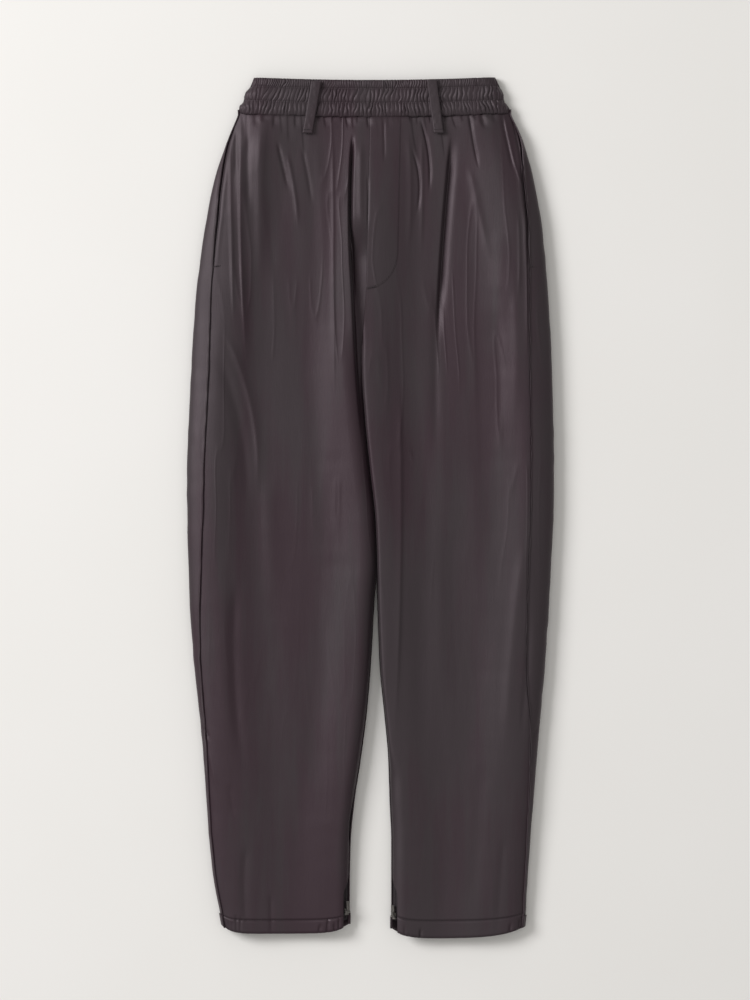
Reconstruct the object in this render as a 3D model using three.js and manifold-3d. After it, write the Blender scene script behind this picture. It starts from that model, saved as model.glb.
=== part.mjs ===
import * as THREE from "three";
import { mergeVertices } from "three/addons/utils/BufferGeometryUtils.js";
import Module from "manifold-3d";

// Track pants laid flat on their back. Millimetres, +Y towards the waist, +Z up from the surface.
// Left and right are as seen from above. Every cloth piece is a hollow wall made from one skin function.

const WALL = 1.2;
const SEAM_GAP = 0.3;
const BAND_TOP = 516;
const BAND_BOTTOM = 474;
const GROOVE_START = 262;
const CROTCH = 170;
const ZIP_TOP = -338;
const ZIP_FADE = 16;
const ZIP_BOTTOM = -494;
const HEM_NOMINAL = -500;
const HEM_START = -400;
const LOWEST_TOP = 3.8;
const MIDDLE_SHARE = 0.45;

// Radii of the waistband's rolled ends, and the share of its width that each takes.
const BAND_ROLL = { top: 17, under: 9, share: 0.08 };

// The front dips at the middle of the waist, over a half width, and this dip fades down the hips.
const DIP = { depth: 4, halfWidth: 160, fadeFrom: 300, fadeOver: 140 };

// The ankle zip lies above the leg's inner edge. The front panel ends at one angle of that edge's round,
// and the back panel comes up round it to the other.
const ZIP_EDGE = { front: 52, back: 10 };

// The middle of each panel sags between its rolled edges.
const PLATEAU = { fromInner: 8, fromOuter: 30, over: 60 };

// Short pleats under the waistband. The flat placket beside the centre seam has none.
const GATHER = { depth: 1.4, length: 95, lengthSwing: 60, lengthJitter: 30, placket: 38, placketFade: 12 };

// How each side edge, seam and height changes down the length.
// strip: how far the outseam lies inside the side edge.
const SECTIONS = [
  { y: 470, leftEdge: 159, rightEdge: 168.6, leftStrip: 2, rightStrip: 2, height: 18, sag: 1 },
  { y: 440, leftEdge: 171, rightEdge: 182, leftStrip: 2, rightStrip: 3, height: 21, sag: 3 },
  { y: 393, leftEdge: 186.6, rightEdge: 195, leftStrip: 8, rightStrip: 12, height: 24, sag: 5 },
  { y: 333, leftEdge: 198.6, rightEdge: 205.8, leftStrip: 14, rightStrip: 17, height: 26, sag: 7 },
  { y: 249, leftEdge: 209.4, rightEdge: 213, leftStrip: 19, rightStrip: 24, height: 27, sag: 8 },
  { y: 153, leftEdge: 215.4, rightEdge: 217.8, leftStrip: 22, rightStrip: 28, height: 27, sag: 9 },
  { y: 30, leftEdge: 219.9, rightEdge: 219.9, leftStrip: 21, rightStrip: 29, height: 27, sag: 9 },
  { y: -87, leftEdge: 217.6, rightEdge: 215.6, leftStrip: 15, rightStrip: 28, height: 26, sag: 8 },
  { y: -183, leftEdge: 211.8, rightEdge: 209.4, leftStrip: 9, rightStrip: 24, height: 25, sag: 7.5 },
  { y: -275, leftEdge: 202, rightEdge: 201.5, leftStrip: 6, rightStrip: 11, height: 24, sag: 6.5 },
  { y: -399, leftEdge: 193, rightEdge: 191.5, leftStrip: 4, rightStrip: 5, height: 21, sag: 5 },
  { y: -447, leftEdge: 187.8, rightEdge: 188, leftStrip: 4, rightStrip: 4, height: 19.5, sag: 4 },
  { y: -485, leftEdge: 180.6, rightEdge: 186, leftStrip: 4, rightStrip: 4, height: 18, sag: 2.5 },
  { y: -516, leftEdge: 175, rightEdge: 183, leftStrip: 4, rightStrip: 4, height: 17, sag: 2 },
];

// The centre seam down to the crotch, then the inner edge of each leg.
const INNER_EDGES = [
  { y: 470, left: -0.6, right: -0.6 },
  { y: 262, left: -5.4, right: -5.4 },
  { y: 170, left: -10.5, right: -10.5 },
  { y: 105, left: -6.6, right: -6.6 },
  { y: 45, left: -0.6, right: -0.6 },
  { y: -15, left: 5.8, right: 5.8 },
  { y: -63, left: 7.4, right: 7.8 },
  { y: -111, left: 4, right: 9 },
  { y: -191, left: -0.6, right: 12 },
  { y: -247, left: -5.4, right: 17.4 },
  { y: -302, left: -12.6, right: 22.2 },
  { y: -351, left: -19.8, right: 23.6 },
  { y: -399, left: -24.4, right: 25.6 },
  { y: -447, left: -25.6, right: 25.6 },
  { y: -516, left: -26, right: 25.6 },
];

// The waistband's half widths and height, one row for each line of stitching and each bulge between.
const BAND_ROWS = [
  { y: 516, left: 139.8, right: 149.4, height: 16.5, bulge: 0.1 },
  { y: 511, left: 141.6, right: 151.8, height: 17, bulge: 1 },
  { y: 504, left: 144.6, right: 155, height: 17, bulge: 0.1 },
  { y: 496, left: 150.2, right: 158.6, height: 17.4, bulge: 1 },
  { y: 486, left: 152.6, right: 160.6, height: 17.6, bulge: 0.1 },
  { y: 480, left: 157.2, right: 164.8, height: 18, bulge: 1 },
  { y: 474.15, left: 157.8, right: 167.2, height: 18, bulge: 0.1 },
];

// Folds that show from a step away: a path through three points, its half width and its height or depth.
const FOLDS = [
  { name: "main groove", x1: -21, y1: 462, x2: -23, y2: 255, x3: -11, y3: 120, width: 8.5, lift: -13 },
  { name: "right groove", x1: 98, y1: 450, x2: 84, y2: 200, x3: 79, y3: 40, width: 8, lift: -5.5 },
  { name: "left side ridge", x1: -163, y1: 452, x2: -160, y2: 240, x3: -146, y3: 40, width: 6, lift: 3 },
  { name: "left hip ridge", x1: -137, y1: 440, x2: -134, y2: 330, x3: -130, y3: 210, width: 8, lift: 2.4 },
  { name: "left centre ridge", x1: -44, y1: 450, x2: -42, y2: 250, x3: -46, y3: 60, width: 9, lift: 3 },
  { name: "left slant", x1: -98, y1: 410, x2: -90, y2: 330, x3: -82, y3: 240, width: 8, lift: 2 },
  { name: "left crease", x1: -176, y1: 210, x2: -143, y2: 80, x3: -136, y3: -30, width: 7, lift: -3 },
  { name: "left thigh band", x1: -124, y1: 20, x2: -118, y2: -60, x3: -112, y3: -160, width: 12, lift: 2.4 },
  { name: "left knee trough", x1: -160, y1: -70, x2: -163, y2: -184, x3: -149, y3: -330, width: 9, lift: -3 },
  { name: "left shin trough", x1: -148, y1: -390, x2: -151, y2: -440, x3: -147, y3: -500, width: 7, lift: -2 },
  { name: "left hem trough", x1: -118, y1: -440, x2: -119, y2: -465, x3: -118, y3: -505, width: 7, lift: -1.6 },
  { name: "fly side trough", x1: 53, y1: 430, x2: 56, y2: 340, x3: 52, y3: 240, width: 6, lift: -2.6 },
  { name: "right hip ridge", x1: 118, y1: 455, x2: 124, y2: 330, x3: 128, y3: 170, width: 9, lift: 2.6 },
  { name: "right side ridge", x1: 162, y1: 460, x2: 176, y2: 380, x3: 182, y3: 280, width: 6, lift: 2.4 },
  { name: "right thigh ridge", x1: 40, y1: 120, x2: 38, y2: -60, x3: 36, y3: -240, width: 9, lift: 2.6 },
  { name: "right leg trough", x1: 98, y1: 0, x2: 100, y2: -120, x3: 104, y3: -260, width: 12, lift: -3 },
  { name: "right knee ridge", x1: 178, y1: -40, x2: 170, y2: -150, x3: 160, y3: -300, width: 9, lift: 2.6 },
  { name: "right shin trough", x1: 132, y1: -300, x2: 128, y2: -390, x3: 122, y3: -490, width: 10, lift: -2.4 },
  { name: "right knee dart", x1: 202, y1: -252, x2: 194, y2: -270, x3: 184, y3: -292, width: 4.5, lift: -2.6 },
  { name: "left knee dart", x1: -204, y1: -248, x2: -196, y2: -262, x3: -186, y3: -282, width: 4.5, lift: -2.6 },
];

const FRONT = { inner: 5, middle: 20, outer: 4 };
const BACK = { side: 3, under: 3, floor: 4, inner: 4 };
const FRONT_COLUMNS = FRONT.inner + FRONT.middle + FRONT.outer;
const BACK_COLUMNS = BACK.side + BACK.under + BACK.floor + BACK.inner;
const LAST_COLUMN = FRONT_COLUMNS + BACK_COLUMNS;
const PANEL_ROWS = [
  BAND_BOTTOM, 454, 430, 400, 365, 325, 290, 262, 238, 214, 192, 170, 145, 110, 70, 30, -30, -95, -155, -205,
  -250, -285, -322, -338, -375, -415, -455, -482, -500,
];
const RIGHT_ANGLE = Math.PI / 2;
const DEGREE = Math.PI / 180;

const HALVES = [
  {
    name: "left",
    side: -1,
    edge: "leftEdge",
    strip: "leftStrip",
    hem: { y: -510, innerRise: 11.5, innerReach: 13, outerRise: 11, outerReach: 9 },
  },
  {
    name: "right",
    side: 1,
    edge: "rightEdge",
    strip: "rightStrip",
    hem: { y: -516, innerRise: 12, innerReach: 13, outerRise: 14.5, outerReach: 27 },
  },
];

const clamp = (value, low, high) => Math.min(high, Math.max(low, value));
const smooth = (t) => {
  const c = clamp(t, 0, 1);
  return c * c * (3 - 2 * c);
};

// A value of a table's column at any y, with no overshoot between rows.
function along(table, column, y) {
  const n = table.length;
  if (y >= table[0].y) return table[0][column];
  if (y <= table[n - 1].y) return table[n - 1][column];
  let i = 0;
  while (y < table[i + 1].y) i += 1;
  const step = (k) => table[k + 1].y - table[k].y;
  const slope = (k) => (table[k + 1][column] - table[k][column]) / step(k);
  const tangent = (k) => {
    if (k === 0) return slope(0);
    if (k === n - 1) return slope(n - 2);
    const before = slope(k - 1);
    const after = slope(k);
    return before * after <= 0 ? 0 : (2 * before * after) / (before + after);
  };
  const h = step(i);
  const t = (y - table[i].y) / h;
  const a = table[i][column];
  const b = table[i + 1][column];
  const t2 = t * t;
  const t3 = t2 * t;
  return (
    a * (2 * t3 - 3 * t2 + 1) +
    b * (3 * t2 - 2 * t3) +
    h * tangent(i) * (t3 - 2 * t2 + t) +
    h * tangent(i + 1) * (t3 - t2)
  );
}

// The sizes of one half's section at height y down the garment.
function sectionAt(half, y) {
  const height = along(SECTIONS, "height", y);
  const gap = y > CROTCH ? SEAM_GAP / 2 : SEAM_GAP;
  const leg = smooth((300 - y) / 700);
  return {
    height,
    middle: height * MIDDLE_SHARE,
    sag: along(SECTIONS, "sag", y),
    edge: half.side * along(SECTIONS, half.edge, y),
    strip: along(SECTIONS, half.strip, y),
    inner: along(INNER_EDGES, half.name, y) + half.side * gap,
    turn: RIGHT_ANGLE * (1 - smooth((GROOVE_START - y) / (GROOVE_START - CROTCH))),
    rollOut: 44 - 14 * leg,
    rollIn: 24 - 8 * leg,
    rollUnder: 12,
    frontAngle: ZIP_EDGE.front * DEGREE * smooth((ZIP_TOP + ZIP_FADE - y) / ZIP_FADE),
    backAngle: ZIP_EDGE.back * DEGREE * smooth((ZIP_TOP + ZIP_FADE - y) / ZIP_FADE),
  };
}

// Height of all folds at one point. Each fades in and out along its path.
function foldsAt(x, y) {
  let z = 0;
  for (const f of FOLDS) {
    if (y > f.y1 || y < f.y3) continue;
    const upper = y > f.y2;
    const t = upper ? (f.y1 - y) / (f.y1 - f.y2) : (f.y2 - y) / (f.y2 - f.y3);
    const middleX = upper ? f.x1 + (f.x2 - f.x1) * t : f.x2 + (f.x3 - f.x2) * t;
    const whole = (f.y1 - y) / (f.y1 - f.y3);
    const fade = smooth(whole / 0.2) * smooth((1 - whole) / 0.3);
    const across = (x - middleX) / f.width;
    z += f.lift * fade * Math.exp(-across * across);
  }
  return z;
}

// Every second column of the front is lower under the waistband, down to a length of its own.
function gatherAt(x, y, column) {
  const swing = GATHER.lengthSwing * Math.sin(2.3 * Math.floor(column / 2) + 1);
  const length = GATHER.length + swing + GATHER.lengthJitter * Math.sin(5.1 * column);
  const besidePlacket = x < -4 ? 1 : smooth((x - GATHER.placket) / GATHER.placketFade);
  return GATHER.depth * Math.cos(Math.PI * column) * smooth(1 - (BAND_BOTTOM - y) / length) * besidePlacket;
}

// Height of the upper side of one half. inward and outward are the distances from its two edges.
function topHeight(s, x, y, inward, outward, column) {
  const rise = s.height - s.middle;
  const a = clamp(Math.cos(s.turn) - inward / s.rollIn, 0, 1);
  const b = clamp(1 - outward / s.rollOut, 0, 1);
  const inRound = Math.sqrt(Math.max(0, 1 - a * a));
  const outRound = Math.sqrt(Math.max(0, 1 - b * b));
  const plateau =
    smooth((inward - PLATEAU.fromInner) / PLATEAU.over) * smooth((outward - PLATEAU.fromOuter) / PLATEAU.over);
  const relief = foldsAt(x, y) + gatherAt(x, y, column) - s.sag * plateau;
  const z = s.height - rise * (1 - inRound) - rise * (1 - outRound) + relief * inRound * outRound;
  return Math.max(z, LOWEST_TOP);
}

const waistDip = (x) => -DIP.depth * (1 - (x / DIP.halfWidth) ** 2);

// The front dips a little at the middle of the waist, and the hem rises at its corners.
function shiftedY(half, s, x, y) {
  const dip = waistDip(x) * smooth((y - DIP.fadeFrom) / DIP.fadeOver);
  const { hem } = half;
  const innerRise = hem.innerRise * Math.exp(-Math.abs(x - s.inner) / hem.innerReach);
  const outerRise = hem.outerRise * Math.exp(-Math.abs(s.edge - x) / hem.outerReach);
  const share = clamp((HEM_START - y) / (HEM_START - HEM_NOMINAL), 0, 1);
  return y + dip + share * share * (hem.y + innerRise + outerRise - HEM_NOMINAL);
}

// A point of one half's outer skin. Columns run from the inner edge over the front to the outseam,
// then round the side and back underneath to the inner edge.
function skin(half, column, y) {
  const s = sectionAt(half, y);
  let x;
  let z;
  if (column <= FRONT_COLUMNS) {
    const start = s.frontAngle;
    const seamAngle = Math.acos(clamp(1 - s.strip / s.rollOut, -1, 1));
    const near = s.inner + half.side * s.rollIn;
    const far = s.edge - half.side * s.rollOut;
    if (column <= FRONT.inner) {
      const angle = start + ((RIGHT_ANGLE - start) * column) / FRONT.inner;
      x = s.inner + half.side * s.rollIn * (1 - Math.cos(angle));
    } else if (column <= FRONT.inner + FRONT.middle) {
      x = near + ((far - near) * (column - FRONT.inner)) / FRONT.middle;
    } else {
      const t = (column - FRONT.inner - FRONT.middle) / FRONT.outer;
      const angle = RIGHT_ANGLE + (seamAngle - RIGHT_ANGLE) * t;
      x = s.edge - half.side * s.rollOut * (1 - Math.cos(angle));
    }
    z = topHeight(s, x, y, Math.abs(x - s.inner), Math.abs(s.edge - x), column);
  } else {
    const q = column - FRONT_COLUMNS;
    const seamAngle = Math.acos(clamp(1 - s.strip / s.rollOut, -1, 1));
    const floorStart = s.edge - half.side * s.rollUnder;
    const floorEnd = s.inner + half.side * s.rollUnder;
    if (q <= BACK.side) {
      const angle = seamAngle * (1 - q / BACK.side);
      x = s.edge - half.side * s.rollOut * (1 - Math.cos(angle));
      z = topHeight(s, x, y, Math.abs(x - s.inner), Math.abs(s.edge - x), FRONT_COLUMNS + 0.5);
    } else if (q <= BACK.side + BACK.under) {
      const angle = (RIGHT_ANGLE * (q - BACK.side)) / BACK.under;
      x = s.edge - half.side * s.rollUnder * (1 - Math.cos(angle));
      z = s.middle * (1 - Math.sin(angle));
    } else if (q <= BACK.side + BACK.under + BACK.floor) {
      const t = (q - BACK.side - BACK.under) / BACK.floor;
      x = floorStart + (floorEnd - floorStart) * t;
      z = 0;
    } else {
      const t = (q - BACK.side - BACK.under - BACK.floor) / BACK.inner;
      const angle = RIGHT_ANGLE - (RIGHT_ANGLE + s.backAngle) * t;
      const roll = angle > 0 ? s.rollUnder : s.rollIn;
      x = s.inner + half.side * roll * (1 - Math.cos(angle));
      const a = clamp(Math.cos(s.turn) - Math.abs(x - s.inner) / s.rollUnder, 0, 1);
      const under = s.middle * (1 - Math.sqrt(Math.max(0, 1 - a * a)));
      z = angle < 0 ? s.middle + (s.height - s.middle) * Math.sin(-angle) : under;
    }
  }
  return new THREE.Vector3(x, shiftedY(half, s, x, y), z);
}

// The outward direction of the skin, from its own slopes.
function skinNormal(half, column, y) {
  const dc = 0.04;
  const dy = 0.6;
  const a = skin(half, clamp(column + dc, 0, LAST_COLUMN), y);
  const b = skin(half, clamp(column - dc, 0, LAST_COLUMN), y);
  const c = skin(half, column, y + dy);
  const d = skin(half, column, y - dy);
  const n = a.sub(b).cross(c.sub(d)).multiplyScalar(half.side);
  return n.normalize();
}

// A closed wall between two grids of the same size.
function wallBetween(outer, inner) {
  const rows = outer.length;
  const columns = outer[0].length;
  const points = [];
  const faces = [];
  for (const p of [...outer, ...inner].flat()) {
    points.push(p.x, p.y, p.z);
  }
  const at = (layer, r, c) => layer * rows * columns + r * columns + c;
  const quad = (a, b, c, d) => faces.push(a, b, c, a, c, d);
  for (let r = 0; r + 1 < rows; r += 1) {
    for (let c = 0; c + 1 < columns; c += 1) {
      quad(at(0, r, c), at(0, r + 1, c), at(0, r + 1, c + 1), at(0, r, c + 1));
      quad(at(1, r, c), at(1, r, c + 1), at(1, r + 1, c + 1), at(1, r + 1, c));
    }
    quad(at(0, r, 0), at(1, r, 0), at(1, r + 1, 0), at(0, r + 1, 0));
    const e = columns - 1;
    quad(at(0, r, e), at(0, r + 1, e), at(1, r + 1, e), at(1, r, e));
  }
  for (let c = 0; c + 1 < columns; c += 1) {
    const e = rows - 1;
    quad(at(0, 0, c), at(0, 0, c + 1), at(1, 0, c + 1), at(1, 0, c));
    quad(at(0, e, c), at(1, e, c), at(1, e, c + 1), at(0, e, c + 1));
  }
  return bodyOf(points, faces);
}

// A geometry from points and faces, turned so that its faces look outwards.
function bodyOf(points, faces) {
  const corner = (k) => new THREE.Vector3().fromArray(points, 3 * faces[k]);
  let volume = 0;
  for (let k = 0; k < faces.length; k += 3) {
    volume += corner(k).dot(corner(k + 1).cross(corner(k + 2)));
  }
  if (volume < 0) {
    faces.reverse();
  }
  const geometry = new THREE.BufferGeometry();
  geometry.setAttribute("position", new THREE.Float32BufferAttribute(points, 3));
  geometry.setIndex(faces);
  geometry.computeVertexNormals();
  return geometry;
}

const moved = (p, n, distance) => p.clone().addScaledVector(n, distance);

// One leg panel. It ends half the seam's gap short of the outseam, and of the inseam below the crotch.
function legPanel(half, first, last) {
  const outer = [];
  const inner = [];
  const nudge = 0.05;
  const inseamGap = 0.25;
  for (const [r, rowY] of PANEL_ROWS.entries()) {
    const y = r === 0 ? rowY - SEAM_GAP / 2 : rowY;
    const outerRow = [];
    const innerRow = [];
    for (let c = first; c <= last; c += 1) {
      const p = skin(half, c, y);
      const n = skinNormal(half, c, y);
      if (r === 0 || r === PANEL_ROWS.length - 1) {
        n.setY(0).normalize();
      }
      if (c === FRONT_COLUMNS) {
        const onward = skin(half, c + nudge, y).sub(skin(half, c - nudge, y)).normalize();
        p.addScaledVector(onward, first === 0 ? -SEAM_GAP / 2 : SEAM_GAP / 2);
      }
      if (y < CROTCH + 1 && c === 0) {
        p.z += inseamGap;
      }
      if (y < CROTCH + 1 && c === LAST_COLUMN) {
        p.z -= inseamGap;
      }
      outerRow.push(p);
      const under = moved(p, n, -WALL);
      if (p.z < 1e-6) {
        under.z = WALL;
      }
      innerRow.push(under);
    }
    outer.push(outerRow);
    inner.push(innerRow);
  }
  return wallBetween(outer, inner);
}

// A point of the waistband's plain skin. turn runs from 0 at the left edge over the top to 1 at the
// right edge, and on to 2 back along the floor.
function bandSkin(turn, row) {
  const under = turn > 1;
  const t = under ? 2 - turn : turn;
  const middle = row.height * MIDDLE_SHARE;
  const roll = under ? BAND_ROLL.under : BAND_ROLL.top;
  const high = under ? -middle : row.height - middle;
  const share = BAND_ROLL.share;
  let x;
  let z;
  if (t < share) {
    const angle = (RIGHT_ANGLE * t) / share;
    x = -row.left + roll * (1 - Math.cos(angle));
    z = middle + high * Math.sin(angle);
  } else if (t > 1 - share) {
    const angle = (RIGHT_ANGLE * (1 - t)) / share;
    x = row.right - roll * (1 - Math.cos(angle));
    z = middle + high * Math.sin(angle);
  } else {
    const from = -row.left + roll;
    const to = row.right - roll;
    x = from + ((to - from) * (t - share)) / (1 - 2 * share);
    z = middle + high;
  }
  return new THREE.Vector3(x, row.y + waistDip(x), z);
}

function bandNormal(turn, row) {
  const a = bandSkin(Math.min(turn + 0.002, 2), row);
  const b = bandSkin(Math.max(turn - 0.002, 0), row);
  return new THREE.Vector3(-(a.z - b.z), 0, a.x - b.x).normalize();
}

const BAND_SEAM = 0.004;

// The front of the waistband: shirred outer points over a plain inside. Its crests alternate from row to row.
function shirredBand() {
  const gathers = 46;
  const swell = 1.1;
  const base = 0.1;
  const endColumns = 4;
  const columns = 2 * gathers;
  const points = [];
  const faces = [];
  const rows = BAND_ROWS.length;
  const turnOf = (c) => BAND_SEAM + ((1 - 2 * BAND_SEAM) * c) / columns;
  for (const [r, row] of BAND_ROWS.entries()) {
    for (let c = 0; c <= columns; c += 1) {
      const turn = turnOf(c);
      const n = bandNormal(turn, row);
      const ends = Math.min(1, c / endColumns, (columns - c) / endColumns);
      const crest = (c + (r > 3 ? 1 : 0)) % 2 === 0 ? 1 : -1;
      const size = 0.25 + 0.4 * row.bulge + 0.12 * Math.sin(3.7 * c + r);
      const p = moved(bandSkin(turn, row), n, (swell * row.bulge + crest * size) * ends + base);
      points.push(p.x, p.y, p.z);
    }
  }
  const innerStart = rows * (columns + 1);
  for (const row of [BAND_ROWS[0], BAND_ROWS[rows - 1]]) {
    for (let c = 0; c <= columns; c += 1) {
      const p = moved(bandSkin(turnOf(c), row), bandNormal(turnOf(c), row), -WALL);
      points.push(p.x, p.y, p.z);
    }
  }
  const outer = (r, c) => r * (columns + 1) + c;
  const inner = (r, c) => innerStart + r * (columns + 1) + c;
  const quad = (a, b, c, d) => faces.push(a, b, c, a, c, d);
  for (let c = 0; c < columns; c += 1) {
    for (let r = 0; r + 1 < rows; r += 1) {
      quad(outer(r, c), outer(r + 1, c), outer(r + 1, c + 1), outer(r, c + 1));
    }
    quad(inner(0, c), inner(0, c + 1), inner(1, c + 1), inner(1, c));
    quad(outer(0, c), outer(0, c + 1), inner(0, c + 1), inner(0, c));
    quad(outer(rows - 1, c), inner(1, c), inner(1, c + 1), outer(rows - 1, c + 1));
  }
  // Each end is a fan from the inside's first corner, then one face to its second.
  for (let r = 0; r + 1 < rows; r += 1) {
    faces.push(inner(0, 0), outer(r + 1, 0), outer(r, 0));
    faces.push(inner(0, columns), outer(r, columns), outer(r + 1, columns));
  }
  faces.push(inner(0, 0), inner(1, 0), outer(rows - 1, 0));
  faces.push(inner(0, columns), outer(rows - 1, columns), inner(1, columns));
  return bodyOf(points, faces);
}

// The back of the waistband lies flat underneath. Its columns crowd towards its rolled ends.
function plainBand() {
  const columns = 26;
  const crowding = 0.05;
  const rows = [BAND_ROWS[0], BAND_ROWS[2], BAND_ROWS[4], BAND_ROWS[6]];
  const outer = [];
  const inner = [];
  for (const row of rows) {
    const outerRow = [];
    const innerRow = [];
    for (let c = 0; c <= columns; c += 1) {
      const t = c / columns;
      const crowded = t - crowding * Math.sin(4 * Math.PI * t);
      const turn = 1 + BAND_SEAM + (1 - 2 * BAND_SEAM) * crowded;
      const p = bandSkin(turn, row);
      const n = bandNormal(turn, row);
      outerRow.push(p);
      innerRow.push(moved(p, n, -WALL));
    }
    outer.push(outerRow);
    inner.push(innerRow);
  }
  return wallBetween(outer, inner);
}

// The mock fly lies on the right front and ends in a J.
const FLY = { top: 473, bottom: 263, curveStart: 305, width: 37, tip: 4, clearance: 0.45, thick: 1, startX: 0.2 };

function flyPiece() {
  const half = HALVES[1];
  const columns = 5;
  const rows = 16;
  const outer = [];
  const inner = [];
  for (let r = 0; r <= rows; r += 1) {
    const y = FLY.top + ((FLY.bottom - FLY.top) * r) / rows;
    const s = sectionAt(half, y);
    const curve = clamp((FLY.curveStart - y) / (FLY.curveStart - FLY.bottom), 0, 1);
    const reach = FLY.tip + (FLY.width - FLY.tip) * Math.sqrt(1 - 0.985 * curve * curve);
    const outerRow = [];
    const innerRow = [];
    for (let c = 0; c <= columns; c += 1) {
      const x = s.inner + FLY.startX + ((reach - FLY.startX) * c) / columns;
      const low = topHeight(s, x, y, x - s.inner, s.edge - x, 0.5) + FLY.clearance;
      const p = new THREE.Vector3(x, shiftedY(half, s, x, y), low);
      innerRow.push(p);
      outerRow.push(p.clone().setZ(low + FLY.thick));
    }
    outer.push(outerRow);
    inner.push(innerRow);
  }
  return wallBetween(outer, inner);
}

// A belt loop: a folded strip that lies over the shirred band and onto the panel below it.
const LOOP = { halfWidth: 6.2, thick: 1.3, overBand: 2.25, overPanel: 1.85, crown: 0.25, bandEnd: 468 };

function beltLoop(half, topX, bottomX, topY, bottomY) {
  const rows = 9;
  const outer = [];
  const inner = [];
  for (let r = 0; r <= rows; r += 1) {
    const t = r / rows;
    const y = topY + (bottomY - topY) * t;
    const centre = topX + (bottomX - topX) * t;
    const overPanel = sectionAt(half, Math.min(y, BAND_BOTTOM)).height + LOOP.overPanel;
    const overBand = along(BAND_ROWS, "height", y) + LOOP.overBand;
    const low = y > LOOP.bandEnd ? Math.max(overBand, overPanel) : overPanel;
    const outerRow = [];
    const innerRow = [];
    for (const c of [-1, -0.4, 0.4, 1]) {
      const x = centre + c * LOOP.halfWidth;
      const p = new THREE.Vector3(x, y + waistDip(x), low + LOOP.crown * (1 - c * c));
      innerRow.push(p);
      outerRow.push(p.clone().setZ(p.z + LOOP.thick));
    }
    outer.push(outerRow);
    inner.push(innerRow);
  }
  return wallBetween(outer, inner);
}

// A pocket bag: one piece of cloth folded on itself, open towards the outseam. It hangs lower away from it.
const POCKET = { top: 452, bottom: 232, depth: 90, mouthShare: 0.55, seamInset: 3, leastInset: 12 };
const POCKET_LEAF = { fall: 2.2, thick: 1 };
const POCKET_FALL = { start: 1.67, waist: 1.4, waistFrom: 330, waistOver: 90, inner: 5, innerOver: 36 };

// Height of the bag's upper face under the front panel.
function pocketHeight(s, x, y, outward) {
  const b = clamp(1 - outward / s.rollOut, 0, 1);
  const round = Math.sqrt(1 - b * b);
  const inside = smooth((outward - POCKET.leastInset) / POCKET_FALL.innerOver);
  const sink = s.sag * smooth((outward - PLATEAU.fromOuter) / PLATEAU.over);
  const panel = s.height - (s.height - s.middle) * (1 - round) - sink + foldsAt(x, y) * round * (1 - inside);
  const waist = POCKET_FALL.waist * smooth((y - POCKET_FALL.waistFrom) / POCKET_FALL.waistOver);
  return panel - POCKET_FALL.start - waist - POCKET_FALL.inner * inside;
}

function pocketBag(half) {
  const leaf = 6;
  const rows = 8;
  const insideShare = 0.985;
  const outer = [];
  const inner = [];
  for (let r = 0; r <= rows; r += 1) {
    const y = POCKET.top + ((POCKET.bottom - POCKET.top) * r) / rows;
    const s = sectionAt(half, y);
    const seam = Math.max(s.strip + POCKET.seamInset, POCKET.leastInset);
    const reach = POCKET.depth * (POCKET.mouthShare + (1 - POCKET.mouthShare) * smooth(r / 3));
    const place = (t, fall) => {
      const outward = seam + reach * t;
      const x = s.edge - half.side * outward;
      return new THREE.Vector3(x, shiftedY(half, s, x, y), pocketHeight(s, x, y, outward) - fall);
    };
    const outerRow = [];
    const innerRow = [];
    for (let c = 0; c <= leaf; c += 1) {
      outerRow.push(place(c / leaf, 0));
      innerRow.push(place((c / leaf) * insideShare, POCKET_LEAF.thick));
    }
    for (let c = leaf; c >= 0; c -= 1) {
      outerRow.push(place(c / leaf, POCKET_LEAF.fall + POCKET_LEAF.thick));
      innerRow.push(place((c / leaf) * insideShare, POCKET_LEAF.fall));
    }
    outer.push(outerRow);
    inner.push(innerRow);
  }
  return wallBetween(outer, inner);
}

// The closed ankle zip lies between the back's raised edge and the front's edge. Its coil is its raised middle.
const ZIP = { start: 3, seamGap: 0.65, taper: 0.6, inset: 0.6, coil: 0.45, thick: 1.1 };

// The zip's middle at one height down the leg, with the directions across it and away from the leg.
function zipFrame(half, y) {
  const s = sectionAt(half, y);
  const rise = s.height - s.middle;
  const edgeAt = (angle) =>
    new THREE.Vector3(s.inner + half.side * s.rollIn * (1 - Math.cos(angle)), y, s.middle + rise * Math.sin(angle));
  const back = edgeAt(s.backAngle);
  const front = edgeAt(s.frontAngle);
  const across = front.clone().sub(back).normalize();
  const away = new THREE.Vector3(-half.side * across.z, 0, half.side * across.x);
  const halfWidth = back.distanceTo(front) / 2 - ZIP.seamGap;
  return { middle: back.add(front).multiplyScalar(0.5), halfWidth, across, away };
}

function zipStrip(half) {
  const rows = 8;
  const top = ZIP_TOP - ZIP.start;
  const outer = [];
  const inner = [];
  for (let r = 0; r <= rows; r += 1) {
    const { middle, halfWidth, across, away } = zipFrame(half, top + ((ZIP_BOTTOM - top) * r) / rows);
    const outerRow = [];
    const innerRow = [];
    for (const c of [-1, -0.25, 0.25, 1]) {
      const raised = Math.abs(c) < 0.5 ? ZIP.coil : 0;
      const p = moved(middle, across, c * halfWidth);
      outerRow.push(moved(p, away, raised - ZIP.inset));
      innerRow.push(moved(moved(p, across, -c * ZIP.taper), away, -ZIP.inset - ZIP.thick));
    }
    outer.push(outerRow);
    inner.push(innerRow);
  }
  return wallBetween(outer, inner);
}

const wasm = await Module();
wasm.setup();

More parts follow.
